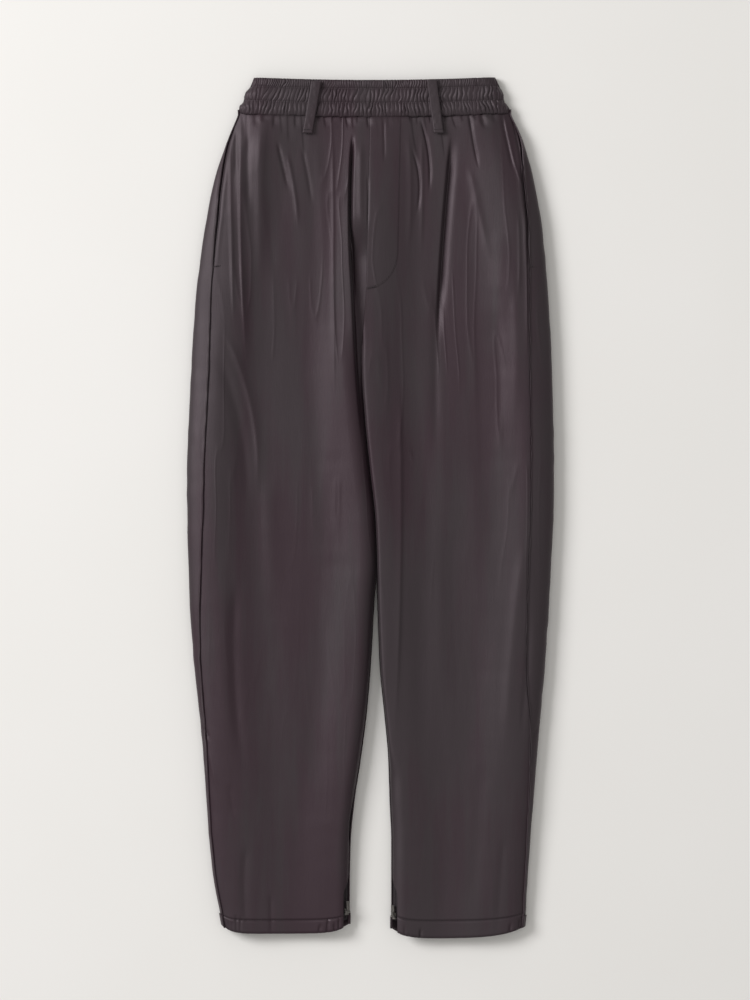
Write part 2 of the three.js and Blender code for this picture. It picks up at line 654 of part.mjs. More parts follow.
// A closed three.js geometry as a solid that can be joined and cut.
function solidOf(geometry) {
  geometry.deleteAttribute("normal");
  geometry.deleteAttribute("uv");
  const merged = mergeVertices(geometry);
  const vertProperties = merged.getAttribute("position").array;
  const triVerts = Uint32Array.from(merged.getIndex().array);
  return new wasm.Manifold(new wasm.Mesh({ numProp: 3, vertProperties, triVerts }));
}

// A joined or cut solid as a three.js geometry.
function geometryOf(solid) {
  const mesh = solid.getMesh();
  const geometry = new THREE.BufferGeometry();
  geometry.setAttribute("position", new THREE.BufferAttribute(mesh.vertProperties, mesh.numProp));
  geometry.setIndex(new THREE.BufferAttribute(mesh.triVerts, 1));
  geometry.computeVertexNormals();
  return geometry;
}

const block = (x, y, z) => new THREE.BoxGeometry(x, y, z);
const rod = (radius, long, sides) => new THREE.CylinderGeometry(radius, radius, long, sides).rotateX(RIGHT_ANGLE);

// Sizes of a slider and its pull tab. Their own axes: X away from the leg, Y along the zip, Z up.
const SLIDER = { long: 7.5, wide: 5.2, thick: 1.8, clearance: 0.05 };
const LUG = { start: 0.2, reach: 4.5, long: 2.6, thick: 1.1, gap: 3 };
const PIN = { out: 3.6, radius: 0.55, into: 0.5 };
const PULL = { long: 13, wide: 4.6, thick: 1.2, eyeRadius: 1.45, holeRadius: 0.9, eyeWide: 2.3 };
const NECK = { start: 0.6, end: 5, overlap: 0.6 };

function sliderBody() {
  const lugX = LUG.start + LUG.reach / 2;
  const lugZ = (LUG.gap + LUG.thick) / 2;
  const cap = block(SLIDER.thick, SLIDER.long, SLIDER.wide).translate(SLIDER.thick / 2, 0, 0);
  const upperLug = block(LUG.reach, LUG.long, LUG.thick).translate(lugX, 0, lugZ);
  const lowerLug = block(LUG.reach, LUG.long, LUG.thick).translate(lugX, 0, -lugZ);
  const pin = rod(PIN.radius, LUG.gap + 2 * PIN.into, 12).translate(PIN.out, 0, 0);
  return geometryOf(solidOf(cap).add(solidOf(upperLug)).add(solidOf(lowerLug)).add(solidOf(pin)));
}

function pullTab() {
  const neckLong = NECK.end - NECK.start;
  const bladeStart = NECK.end - NECK.overlap;
  const bladeLong = PULL.long - bladeStart;
  const eye = rod(PULL.eyeRadius, PULL.eyeWide, 16);
  const neck = block(PULL.thick, neckLong, PULL.eyeWide).translate(0, NECK.start + neckLong / 2, 0);
  const blade = block(PULL.thick, bladeLong, PULL.wide).translate(0, bladeStart + bladeLong / 2, 0);
  const hole = rod(PULL.holeRadius, PULL.eyeWide + 1, 16);
  return geometryOf(solidOf(eye).add(solidOf(neck)).add(solidOf(blade)).subtract(solidOf(hole)));
}

const pants = new THREE.Group();
pants.name = "track_pants";

const cloth = (r, g, b, roughness) =>
  new THREE.MeshStandardMaterial({ color: new THREE.Color(r / 255, g / 255, b / 255), roughness, metalness: 0 });

function addPiece(name, geometry, material) {
  const mesh = new THREE.Mesh(geometry, material);
  mesh.name = name;
  pants.add(mesh);
  return mesh;
}

for (const half of HALVES) {
  addPiece("front_" + half.name, legPanel(half, 0, FRONT_COLUMNS), cloth(64, 57, 61, 0.5));
  addPiece(
    "back_" + half.name,
    legPanel(half, FRONT_COLUMNS, LAST_COLUMN),
    cloth(62, 55, 59, 0.5),
  );
  addPiece("pocket_" + half.name, pocketBag(half), cloth(50, 45, 48, 0.7));
  addPiece("zip_" + half.name, zipStrip(half), cloth(34, 31, 33, 0.6));
}
addPiece("waistband_front", shirredBand(), cloth(62, 55, 59, 0.55));
addPiece("waistband_back", plainBand(), cloth(58, 52, 55, 0.55));
addPiece("fly", flyPiece(), cloth(64, 57, 61, 0.5));
addPiece("loop_left", beltLoop(HALVES[0], -64.7, -75.4, 513.5, 450.5), cloth(60, 54, 57, 0.55));
addPiece("loop_right", beltLoop(HALVES[1], 73.3, 81.8, 515.5, 450.5), cloth(60, 54, 57, 0.55));

// A slider and its pull sit on each leg's zip near the hem, turned to face away from the leg.
function addSlider(half, y) {
  const { middle, away } = zipFrame(half, y);
  const metal = () =>
    new THREE.MeshStandardMaterial({ color: new THREE.Color(0.55, 0.54, 0.53), roughness: 0.35, metalness: 1 });
  const slider = addPiece("slider_" + half.name, sliderBody(), metal());
  const pull = addPiece("pull_" + half.name, pullTab(), metal());
  for (const [mesh, out] of [
    [slider, 0],
    [pull, PIN.out],
  ]) {
    mesh.position.copy(moved(middle, away, out + SLIDER.clearance));
    mesh.rotation.y = Math.atan2(-away.z, away.x);
  }
}

addSlider(HALVES[0], -484);
addSlider(HALVES[1], -489);

export default pants;
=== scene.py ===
"""Track pants laid flat on a pale floor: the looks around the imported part.

Sizes are in millimetres until a mesh is made. +X is right in the picture, +Y towards the waist, +Z up.
"""

import math

import bpy
import numpy as np

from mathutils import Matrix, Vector


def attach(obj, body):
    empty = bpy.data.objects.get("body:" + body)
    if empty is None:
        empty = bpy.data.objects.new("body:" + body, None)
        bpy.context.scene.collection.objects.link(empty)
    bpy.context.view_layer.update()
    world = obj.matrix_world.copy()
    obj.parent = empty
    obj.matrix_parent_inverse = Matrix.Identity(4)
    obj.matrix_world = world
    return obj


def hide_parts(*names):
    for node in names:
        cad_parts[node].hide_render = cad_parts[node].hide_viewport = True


MM = 0.001
SEED = 11

# Driving sizes of the garment, as in the part's source.
SEAM_GAP = 0.3
BAND_TOP = 516.0
BAND_BOTTOM = 474.0
BAND_STITCH_LINES = (505.5, 488.2)
GROOVE_START = 262.0
CROTCH = 170.0
ZIP_TOP = -338.0
ZIP_BOTTOM = -494.0
ZIP_FADE = 16.0
ZIP_FRONT_ANGLE = 52.0
ZIP_BACK_ANGLE = 10.0
ZIP_COVERED_ANGLE = 14.0
ZIP_SEAM_GAP = 0.65
ZIP_INSET = 0.6
TAPE_TOP = ZIP_TOP + 11.0
TEETH_TOP = ZIP_TOP - 5
HEM_START = -400.0
HEM_NOMINAL = -500.0
HEM_DEPTH = 16.0
HEM_STITCH_LEFT = -486.5
HEM_STITCH_RIGHT = -484.0
LOWEST_TOP = 3.8
MIDDLE_SHARE = 0.45
SIDE_ROLL_HIP = 44.0
SIDE_ROLL_HEM = 30.0
INNER_ROLL_HIP = 24.0
INNER_ROLL_HEM = 16.0
CRISP_ROLL = 9.0
UNDER_ROLL = 12.0
WAIST_DIP = 4.0
WAIST_DIP_REACH = 160.0
POCKET_TOP = 455.0
POCKET_BOTTOM = 288.0
FLY_WIDTH = 37.0
FLY_TOP = 473.0
FLY_BOTTOM = 263.0
FLY_CURVE_START = 305.0
LOOP_WIDTH = 12.4

# How the cloth is turned in: (out or along, down) in steps from an edge.
EDGE_TURN = (-0.7, 1.3)
HEM_TURN = ((0.25, 0.35), (0.2, 0.9))
HEM_TURN_HEIGHT = 1.2
HEM_TURN_DEPTH = 1.25
# The same for the band, as (inward, up).
BAND_TOP_TURN = ((3.2, -10.0), (1.6, -0.6), (0.6, 0.15))
BAND_BOTTOM_TURN = ((0.6, -0.1), (1.8, 0.9), (2.2, 9.0))

SECTION_COLUMNS = ("y", "left_edge", "right_edge", "left_strip", "right_strip", "height", "sag")
SECTIONS = (
    (470, 159, 168.6, 2, 2, 18, 1),
    (440, 171, 182, 2, 3, 21, 3),
    (393, 186.6, 195, 8, 12, 24, 5),
    (333, 198.6, 205.8, 14, 17, 26, 7),
    (249, 209.4, 213, 19, 24, 27, 8),
    (153, 215.4, 217.8, 22, 28, 27, 9),
    (30, 219.9, 219.9, 21, 29, 27, 9),
    (-87, 217.6, 215.6, 15, 28, 26, 8),
    (-183, 211.8, 209.4, 9, 24, 25, 7.5),
    (-275, 202, 201.5, 6, 11, 24, 6.5),
    (-399, 193, 191.5, 4, 5, 21, 5),
    (-447, 187.8, 188, 4, 4, 19.5, 4),
    (-485, 180.6, 186, 4, 4, 18, 2.5),
    (-516, 175, 183, 4, 4, 17, 2),
)

INNER_COLUMNS = ("y", "left", "right")
INNER_EDGES = (
    (470, -0.6, -0.6),
    (262, -5.4, -5.4),
    (170, -10.5, -10.5),
    (105, -6.6, -6.6),
    (45, -0.6, -0.6),
    (-15, 5.8, 5.8),
    (-63, 7.4, 7.8),
    (-111, 4, 9),
    (-191, -0.6, 12),
    (-247, -5.4, 17.4),
    (-302, -12.6, 22.2),
    (-351, -19.8, 23.6),
    (-399, -24.4, 25.6),
    (-447, -25.6, 25.6),
    (-516, -26, 25.6),
)

BAND_COLUMNS = ("y", "left", "right", "height")
BAND_ROWS = (
    (516, 139.8, 149.4, 16.5),
    (511, 141.6, 151.8, 17),
    (504, 144.6, 155, 17),
    (496, 150.2, 158.6, 17.4),
    (486, 152.6, 160.6, 17.6),
    (480, 157.2, 164.8, 18),
    (474.15, 157.8, 167.2, 18),
)

# Folds listed one by one: a path through three points, the width on each side, the lift, and how sharp the
# fold's line is.
FOLD_COLUMNS = ("x1", "y1", "x2", "y2", "x3", "y3", "left", "right", "lift", "sharp")
FOLDS = (
    # Beside the deep groove left of the fly.
    (-11, 444, -12, 380, -10, 318, 4.0, 4.0, 1.0, 0.1),
    (-3.5, 404, -3, 370, -4, 328, 1.2, 1.6, -0.9, 0.4),
    # The shorter groove right of the fly.
    (98.5, 454, 88.5, 340, 80, 160, 1.6, 40, -1.8, 0.1),
    (98, 452, 88, 340, 79, 190, 1.9, 6.0, -5.2, 0.1),
    (80, 290, 78, 180, 79, 55, 5.0, 5.0, -1.1, 0.1),
    # Left hip, from the side inwards.
    (-168, 450, -167, 340, -163, 210, 1.6, 3.0, 1.7, 0.7),
    (-161, 458, -161, 430, -160.5, 392, 2.4, 2.4, -1.8, 0.2),
    (-155, 464, -155.5, 330, -148, 170, 2.0, 4.5, 2.0, 0.7),
    (-146, 450, -147, 410, -145, 350, 4.0, 4.0, -1.6, 0.2),
    (-131, 464, -133, 380, -130, 262, 6.0, 8.0, 1.9, 0.1),
    (-112, 442, -105, 411, -97, 378, 1.6, 2.4, -1.7, 0.6),
    (-101, 430, -93, 393, -86, 330, 2.6, 2.2, 1.2, 0.4),
    (-83, 436, -76, 404, -70, 360, 2.0, 2.6, -1.0, 0.4),
    (-66, 452, -60, 370, -55, 270, 7.0, 6.0, 0.6, 0.1),
    (-45.5, 468, -44, 300, -43, 120, 3.4, 2.0, 0.9, 0.6),
    (-160, 300, -157, 237, -150, 140, 15, 11, 1.5, 0),
    # Left leg.
    (-177, 214, -148, 140, -137, 10, 3.4, 8.0, 1.7, 0.6),
    (-184, 190, -160, 116, -149, -10, 8.0, 6.0, -1.4, 0.1),
    (-125, 40, -121, -30, -114, -130, 10, 12, 1.1, 0),
    (-160, -80, -163, -184, -149, -330, 7, 6, -1.7, 0.15),
    (-176, -60, -176, -170, -168, -330, 9, 9, 0.7, 0),
    (-148, -400, -151, -445, -147, -505, 5, 5, -1.1, 0.2),
    (-119, -456, -119, -480, -118, -512, 3, 4, -0.9, 0.4),
    (-169, -330, -167, -345, -163, -372, 4, 4, -0.8, 0.2),
    (-207, -248, -201, -260, -190, -280, 1.8, 2.2, -1.9, 0.7),
    (-201, -262, -194, -292, -182, -345, 3.0, 4.0, 1.0, 0.5),
    (-60, -100, -56, -240, -62, -400, 16, 14, -0.8, 0),
    (-88, -40, -92, -180, -94, -340, 16, 14, 0.7, 0),
    # Beside the fly and the right hip.
    (15.5, 470, 16.2, 446, 16.5, 414, 1.3, 1.6, -0.9, 0.7),
    (59, 470, 67.5, 438, 69.5, 375, 1.5, 2.2, -1.9, 0.5),
    (49, 434, 56.5, 408, 53, 346, 1.3, 2.0, -1.6, 0.5),
    (45, 456, 48, 390, 45, 300, 4.0, 3.0, 0.7, 0.3),
    (61, 452, 62, 400, 60, 300, 3.0, 2.4, 0.7, 0.3),
    (118, 474, 123, 440, 130, 404, 1.5, 2.2, -1.6, 0.5),
    (118, 412, 131, 350, 144, 290, 4.0, 5.0, 0.9, 0.2),
    (150, 335, 155, 295, 158, 235, 13, 13, 0.9, 0),
    (155, 474, 163, 440, 171, 400, 1.6, 2.4, -1.9, 0.5),
    (160, 474, 168, 428, 185, 374, 1.4, 1.8, 1.5, 0.7),
    (167, 474, 174, 444, 181, 408, 1.4, 2.0, -1.6, 0.5),
    (174, 464, 181, 418, 187, 376, 1.4, 1.8, 1.4, 0.7),
    (184, 372, 186.5, 280, 187, 170, 3.0, 2.0, 1.1, 0.7),
    (176, 356, 178, 300, 176, 240, 2.0, 2.6, 0.7, 0.4),
    (150, 240, 154, 170, 156, 80, 8.0, 8.0, -0.9, 0),
    (170, 300, 174, 200, 172, 90, 6.0, 6.0, 0.6, 0.1),
    # Right leg.
    (34, 160, 36.5, -20, 28, -290, 6.0, 2.6, 1.1, 0.6),
    (98, 0, 100, -120, 104, -260, 16, 16, -1.1, 0),
    (128, 60, 132, -60, 130, -200, 12, 14, 0.8, 0),
    (186, -30, 173, -130, 161, -310, 7.0, 9.0, 1.4, 0.1),
    (191, -120, 187, -190, 180, -280, 4.0, 4.0, -0.9, 0.1),
    (205, -247, 200, -263, 189, -284, 1.8, 2.2, -1.9, 0.7),
    (195, -280, 192, -330, 187, -380, 3.0, 3.0, 0.8, 0.5),
    (60, -60, 62, -190, 60, -340, 12, 12, -0.8, 0),
    (132, -300, 128, -390, 122, -490, 10, 10, -1.0, 0),
    (160, -390, 156, -440, 152, -505, 5, 5, -0.7, 0.2),
)

# The deep groove left of the fly, on the left front alone: a narrow slit that widens down to where the
# legs part.
GROOVE = (
    (-21.2, 452, -24.6, 366, -19.5, 240, 1.3, 2.2, -11, 0.1),
    (-21.5, 352, -18, 225, -8, 75, 2.2, 34.0, -14, 0),
)

HALVES = {
    "left": {"side": -1, "edge": "left_edge", "strip": "left_strip", "hem": -510,
             "inner_rise": 11.5, "inner_reach": 13, "outer_rise": 11, "outer_reach": 9},
    "right": {"side": 1, "edge": "right_edge", "strip": "right_strip", "hem": -516,
              "inner_rise": 12, "inner_reach": 13, "outer_rise": 14.5, "outer_reach": 27},
}


def curve(rows, columns, key):
    """A smooth function of y through one column of a table, with no overshoot between rows."""
    table = np.array(rows, float)[::-1]
    ys = table[:, 0]
    values = table[:, columns.index(key)]
    steps = np.diff(ys)
    slopes = np.diff(values) / steps
    tangents = np.empty_like(values)
    tangents[0], tangents[-1] = slopes[0], slopes[-1]
    product = slopes[:-1] * slopes[1:]
    total = np.where(np.abs(slopes[:-1] + slopes[1:]) < 1e-12, 1.0, slopes[:-1] + slopes[1:])
    tangents[1:-1] = np.where(product > 0, 2 * product / total, 0.0)

    def at(y):
        y = np.clip(y, ys[0], ys[-1])
        i = np.clip(np.searchsorted(ys, y, side="right") - 1, 0, len(ys) - 2)
        h = steps[i]
        t = (y - ys[i]) / h
        a, b = values[i], values[i + 1]
        bend = h * tangents[i] * (t**3 - 2 * t**2 + t) + h * tangents[i + 1] * (t**3 - t**2)
        return a * (2 * t**3 - 3 * t**2 + 1) + b * (3 * t**2 - 2 * t**3) + bend

    return at


def smooth(t):
    """An even step from 0 to 1."""
    c = np.clip(t, 0, 1)
    return c * c * (3 - 2 * c)


def hump(t):
    """Rises from 0 to 1 and back over t from 0 to 1."""
    return np.sin(np.pi * np.clip(t, 0, 1))


class Noise:
    """Smooth random values over a plane, the same in each run."""

    def __init__(self, seed, size=256):
        self.values = np.random.RandomState(seed).uniform(-1, 1, (size, size))
        self.size = size

    def __call__(self, u, v):
        i, j = np.floor(u).astype(int), np.floor(v).astype(int)
        s, t = smooth(u - i), smooth(v - j)

        def pick(a, b):
            return self.values[(i + a) % self.size, (j + b) % self.size]

        low = pick(0, 0) * (1 - s) + pick(1, 0) * s
        high = pick(0, 1) * (1 - s) + pick(1, 1) * s
        return low * (1 - t) + high * t


SECTION = {key: curve(SECTIONS, SECTION_COLUMNS, key) for key in SECTION_COLUMNS[1:]}
INNER = {key: curve(INNER_EDGES, INNER_COLUMNS, key) for key in INNER_COLUMNS[1:]}
BAND = {key: curve(BAND_ROWS, BAND_COLUMNS, key) for key in BAND_COLUMNS[1:]}
RIPPLE = Noise(SEED)
RIPPLE_FINE = Noise(SEED + 1)


def section_at(half, y):
    """The sizes of one half's section at each y."""
    side = half["side"]
    height = SECTION["height"](y)
    gap = np.where(y > CROTCH, SEAM_GAP / 2, SEAM_GAP)
    leg = smooth((300 - y) / 700)
    zipped = smooth((ZIP_TOP + ZIP_FADE - y) / ZIP_FADE)
    # The right leg's inner edge is folded crisply from the fly to the zip.
    crisp = smooth((290 - y) / 60) * smooth((y + 325) / 50) * (side > 0)
    inner_roll = INNER_ROLL_HIP - (INNER_ROLL_HIP - INNER_ROLL_HEM) * leg
    uneven = 0.45 * RIPPLE_FINE(y / 15 + 7, 50.5 + 5 * side)
    name = "left" if side < 0 else "right"
    return {
        "height": height,
        "middle": height * MIDDLE_SHARE,
        "sag": SECTION["sag"](y),
        "edge": side * (SECTION[half["edge"]](y) + uneven),
        "strip": SECTION[half["strip"]](y),
        "inner": INNER[name](y) + side * gap,
        "turn": math.pi / 2 * (1 - smooth((GROOVE_START - y) / (GROOVE_START - CROTCH))),
        "roll_out": SIDE_ROLL_HIP - (SIDE_ROLL_HIP - SIDE_ROLL_HEM) * leg,
        "roll_in": inner_roll * (1 - crisp) + CRISP_ROLL * crisp,
        "power": 2 + 3 * crisp,
        "roll_under": UNDER_ROLL,
        "zipped": zipped,
        "front_angle": math.radians(ZIP_FRONT_ANGLE) * zipped,
        "back_angle": math.radians(ZIP_BACK_ANGLE) * zipped,
    }


def fold_lift(fold, x, y):
    """Height of one fold of the table at each point."""
    f = dict(zip(FOLD_COLUMNS, fold))
    ya, yb, yc = f["y1"], f["y2"], f["y3"]
    la = (y - yb) * (y - yc) / ((ya - yb) * (ya - yc))
    lb = (y - ya) * (y - yc) / ((yb - ya) * (yb - yc))
    lc = (y - ya) * (y - yb) / ((yc - ya) * (yc - yb))
    path = f["x1"] * la + f["x2"] * lb + f["x3"] * lc
    along = (ya - y) / (ya - yc)
    fade = smooth(along / 0.2) * smooth((1 - along) / 0.35)
    across = x - path
    across = across / np.where(across < 0, f["left"], f["right"])
    soft = np.exp(-across * across)
    crisp = np.exp(-1.7 * (np.sqrt(across * across + 0.02) - 0.14))
    shape = (1 - f["sharp"]) * soft + f["sharp"] * crisp
    return f["lift"] * fade * shape


def waist_gathers():
    """Short creases that start under the waistband, uneven in place, length and depth."""
    random = np.random.RandomState(SEED + 2)
    made = []
    x = -157.0
    top = BAND_BOTTOM + 6
    while x < 170.0:
        beside_fly = -3 < x < 38
        short = random.rand() < 0.72
        length = random.uniform(14, 30) if short else random.uniform(34, 78)
        depth = random.uniform(0.7, 1.7) if short else random.uniform(0.5, 1.0)
        depth *= 0.3 if beside_fly else 1
        lean = length * (0.0013 * max(x, 0) + 0.07) + random.uniform(-2.5, 2.5)
        bow = random.uniform(-1.6, 1.6)
        width = random.uniform(0.8, 1.4)
        middle = (x + 0.45 * lean + bow, top - 0.45 * length)
        made.append((x, top, *middle, x + lean, top - length, width, width * 6.0, -0.8 * depth, 0.25))
        x += random.uniform(4.5, 11.5)
    return made


def zip_cover(side, y):
    """How far the front's inner edge is laid back: 0 where it covers the zip, 1 where it is open."""
    near_hem = smooth((-440 - y) / 22)
    gaping = 0.5 * hump((-345 - y) / 62) if side < 0 else 0.0
    return np.maximum(near_hem, gaping)


# Where the hem puckers: from x to x, and the hem's y there.
HEM_PUCKERS = ((-180, -150, -512), (30, 74, -518), (168, 186, -515), (-60, -28, -512))


def hem_gathers():
    """Small puckers where the back's elastic hem pulls on the front, at the legs' corners."""
    random = np.random.RandomState(SEED + 3)
    made = []
    for start, stop, floor in HEM_PUCKERS:
        x = start
        while x < stop:
            length = random.uniform(14, 34)
            depth = random.uniform(0.8, 1.9)
            middle = (x + random.uniform(-2, 2), floor + length / 2)
            made.append((x, floor + length, *middle, x, floor - 8, 1.6, 1.9, -depth, 0.5))
            x += random.uniform(4.0, 7.0)
    return made


ALL_FOLDS = FOLDS + tuple(waist_gathers()) + tuple(hem_gathers())


def ripples(x, y):
    """Low uneven waves that run down the cloth, stronger near the waist."""
    bent = x + 7 * RIPPLE(x / 60 + 13, y / 75 + 31)
    near_waist = 0.75 + 0.1 * smooth((y - 150) / 300)
    broad = 1.25 * RIPPLE(bent / 42 + 40, y / 190 + 9) + 0.28 * RIPPLE(bent / 17 + 3, y / 90 + 60)
    fine = 0.05 * RIPPLE_FINE(bent / 6.0 + 90, y / 40 + 30)
    across = 0.12 * RIPPLE_FINE(x / 50 + 20, y / 14 + 15)
    # Thin crease lines, here and there.
    line = (1 - np.minimum(np.abs(RIPPLE(bent / 14 + 70, y / 150 + 20)), 1)) ** 10
    patch = smooth(RIPPLE(x / 45 + 11, y / 110 + 77) / 0.35)
    thin = 0.5 * line * patch * (0.25 + 0.75 * smooth((y + 120) / 200))
    return (broad + fine) * near_waist + across + thin


def relief(x, y):
    """All folds, gathers and waves at each point."""
    z = ripples(x, y)
    for fold in ALL_FOLDS:
        inside = (y < fold[1]) & (y > fold[5])
        if inside.any():
            z = z + np.where(inside, fold_lift(fold, x, y), 0.0)
    for fold in GROOVE:
        inside = (y < fold[1]) & (y > fold[5]) & (x < INNER["left"](y))
        z = z + np.where(inside, fold_lift(fold, x, y), 0.0)
    seam = 3.0 * np.exp(-(((y - BAND_BOTTOM - 1) / 3.4) ** 2))
    stitched = 1.0 * np.exp(-(((y - hem_stitch_y(x)) / 1.1) ** 2))
    return z - seam - stitched


def hem_stitch_y(x):
    """Where the hem's stitch line runs before the hem's corners are raised."""
    return np.where(x < 0, HEM_STITCH_LEFT, HEM_STITCH_RIGHT)


def top_height(s, x, y, inward, outward):
    """Height of the upper side of one half, from the distances to its two edges."""
    rise = s["height"] - s["middle"]
    a = np.clip(np.cos(s["turn"]) - inward / s["roll_in"], 0, 1)
    b = np.clip(1 - outward / s["roll_out"], 0, 1)
    in_round = np.maximum(0, 1 - a ** s["power"]) ** (1 / s["power"])
    out_round = np.sqrt(np.maximum(0, 1 - b * b))
    plateau = smooth((inward - 8) / 60) * smooth((outward - 30) / 60)
    lift = relief(x, y) - s["sag"] * plateau
    z = s["height"] - rise * (1 - in_round) - rise * (1 - out_round) + lift * in_round * out_round
    return np.maximum(z, LOWEST_TOP)


def waist_dip(x):
    """How far the waist's middle lies lower than its ends, as a step of y."""
    return -WAIST_DIP * (1 - (x / WAIST_DIP_REACH) ** 2)


def shifted_y(half, s, x, y):
    """The front dips a little at the middle of the waist, and the hem rises at its corners."""
    dip = waist_dip(x) * smooth((y - 300) / 140)
    inward, outward = np.abs(x - s["inner"]), np.abs(s["edge"] - x)
    rises = half["inner_rise"] * np.exp(-inward / half["inner_reach"])
    rises = rises + half["outer_rise"] * np.exp(-outward / half["outer_reach"])
    share = np.clip((HEM_START - y) / (HEM_START - HEM_NOMINAL), 0, 1)
    return y + dip + share * share * (half["hem"] + rises - HEM_NOMINAL)


def front_skin(half, share, y):
    """Points of a front panel. share runs from 0 at the inner edge to 1 at the outseam."""
    s = section_at(half, y)
    side = half["side"]
    covered = math.radians(ZIP_COVERED_ANGLE) * s["zipped"]
    start = covered + (s["front_angle"] - covered) * zip_cover(side, y)
    seam_angle = np.arccos(np.clip(1 - s["strip"] / s["roll_out"], -1, 1))
    inner_share, outer_share = 0.1, 0.86
    near = s["inner"] + side * s["roll_in"]
    far = s["edge"] - side * s["roll_out"]
    a = start + (math.pi / 2 - start) * np.clip(share / inner_share, 0, 1)
    x_inner = s["inner"] + side * s["roll_in"] * (1 - np.cos(a))
    x_middle = near + (far - near) * (share - inner_share) / (outer_share - inner_share)
    b = math.pi / 2 + (seam_angle - math.pi / 2) * np.clip((share - outer_share) / (1 - outer_share), 0, 1)
    x_outer = s["edge"] - side * s["roll_out"] * (1 - np.cos(b))
    x = np.where(share <= inner_share, x_inner, np.where(share <= outer_share, x_middle, x_outer))
    z = top_height(s, x, y, np.abs(x - s["inner"]), np.abs(s["edge"] - x))
    # The pocket's mouth stands a little open, and its edge is folded over.
    near_seam = np.exp(-(((1 - share) / 0.012) ** 2))
    mouth = pocket_mouth(y)
    x = x - side * 1.5 * mouth * near_seam
    z = z - 0.5 * mouth * near_seam + 0.5 * mouth * np.exp(-(((share - 0.972) / 0.012) ** 2))
    return np.stack([x, shifted_y(half, s, x, y), z], -1)


def pocket_mouth(y):
    """How open the pocket is, from 0 at its ends to 1."""
    return hump((POCKET_TOP - y) / (POCKET_TOP - POCKET_BOTTOM)) ** 0.5


# Where a back panel's side, its turn to the floor and its floor end, as shares of the panel.
BACK_SHARES = (0.22, 0.36, 0.86)


def back_skin(half, share, y):
    """Points of a back panel. share runs from 0 at the outseam, round the side and below, to 1 inside."""
    s = section_at(half, y)
    side = half["side"]
    side_end, under_end, floor_end = BACK_SHARES
    seam_angle = np.arccos(np.clip(1 - s["strip"] / s["roll_out"], -1, 1))
    a = seam_angle * (1 - np.clip(share / side_end, 0, 1))
    x_side = s["edge"] - side * s["roll_out"] * (1 - np.cos(a))
    z_side = top_height(s, x_side, y, np.abs(x_side - s["inner"]), np.abs(s["edge"] - x_side))
    # The seam's allowance under the back makes a bead beside the seam.
    from_seam = np.abs(s["edge"] - x_side - side * s["strip"])
    bead = 0.85 + 0.6 * RIPPLE_FINE(y / 8 + 5, side * 3.0 + 40 + 0 * y)
    z_side = z_side + bead * np.exp(-(((from_seam - 1.5) / 0.9) ** 2)) * (share < side_end)
    b = math.pi / 2 * np.clip((share - side_end) / (under_end - side_end), 0, 1)
    x_under = s["edge"] - side * s["roll_under"] * (1 - np.cos(b))
    z_under = s["middle"] * (1 - np.sin(b))
    from_x = s["edge"] - side * s["roll_under"]
    to_x = s["inner"] + side * s["roll_under"]
    x_floor = from_x + (to_x - from_x) * np.clip((share - under_end) / (floor_end - under_end), 0, 1)
    c = math.pi / 2 - (math.pi / 2 + s["back_angle"]) * np.clip((share - floor_end) / (1 - floor_end), 0, 1)
    x_inner = s["inner"] + side * np.where(c > 0, s["roll_under"], s["roll_in"]) * (1 - np.cos(c))
    d = np.clip(np.cos(s["turn"]) - np.abs(x_inner - s["inner"]) / s["roll_under"], 0, 1)
    z_low = s["middle"] * (1 - np.sqrt(np.maximum(0, 1 - d * d)))
    z_inner = np.where(c < 0, s["middle"] + (s["height"] - s["middle"]) * np.sin(-c), z_low)
    parts = [share <= side_end, share <= under_end, share <= floor_end]
    x = np.select(parts, [x_side, x_under, x_floor], x_inner)
    z = np.select(parts, [z_side, z_under, np.zeros_like(x)], z_inner)
    return np.stack([x, shifted_y(half, s, x, y), z], -1)


def grid_normals(points):
    """Unit directions across a grid of points, by central differences."""
    dr = np.gradient(points, axis=0)
    dc = np.gradient(points, axis=1)
    n = np.cross(dc, dr)
    return n / np.maximum(np.linalg.norm(n, axis=-1, keepdims=True), 1e-9)


def mesh_object(name, vertices, faces, material):
    """A smooth mesh object from points in millimetres."""
    mesh = bpy.data.meshes.new(name)
    mesh.from_pydata((np.asarray(vertices) * MM).tolist(), [], faces)
    mesh.polygons.foreach_set("use_smooth", [True] * len(mesh.polygons))
    mesh.materials.append(material)
    mesh.update()
    made = bpy.data.objects.new(name, mesh)
    bpy.context.scene.collection.objects.link(made)
    return made


def grid_faces(rows, columns, start=0, closed=False):
    """Quads of a grid of points, row after row. closed joins the last column to the first."""
    r = np.arange(rows - 1)[:, None]
    c = np.arange(columns if closed else columns - 1)[None, :]
    n = (c + 1) % columns
    quads = [r * columns + c, (r + 1) * columns + c, (r + 1) * columns + n, r * columns + n]
    return (np.stack(np.broadcast_arrays(*quads), -1).reshape(-1, 4) + start).tolist()


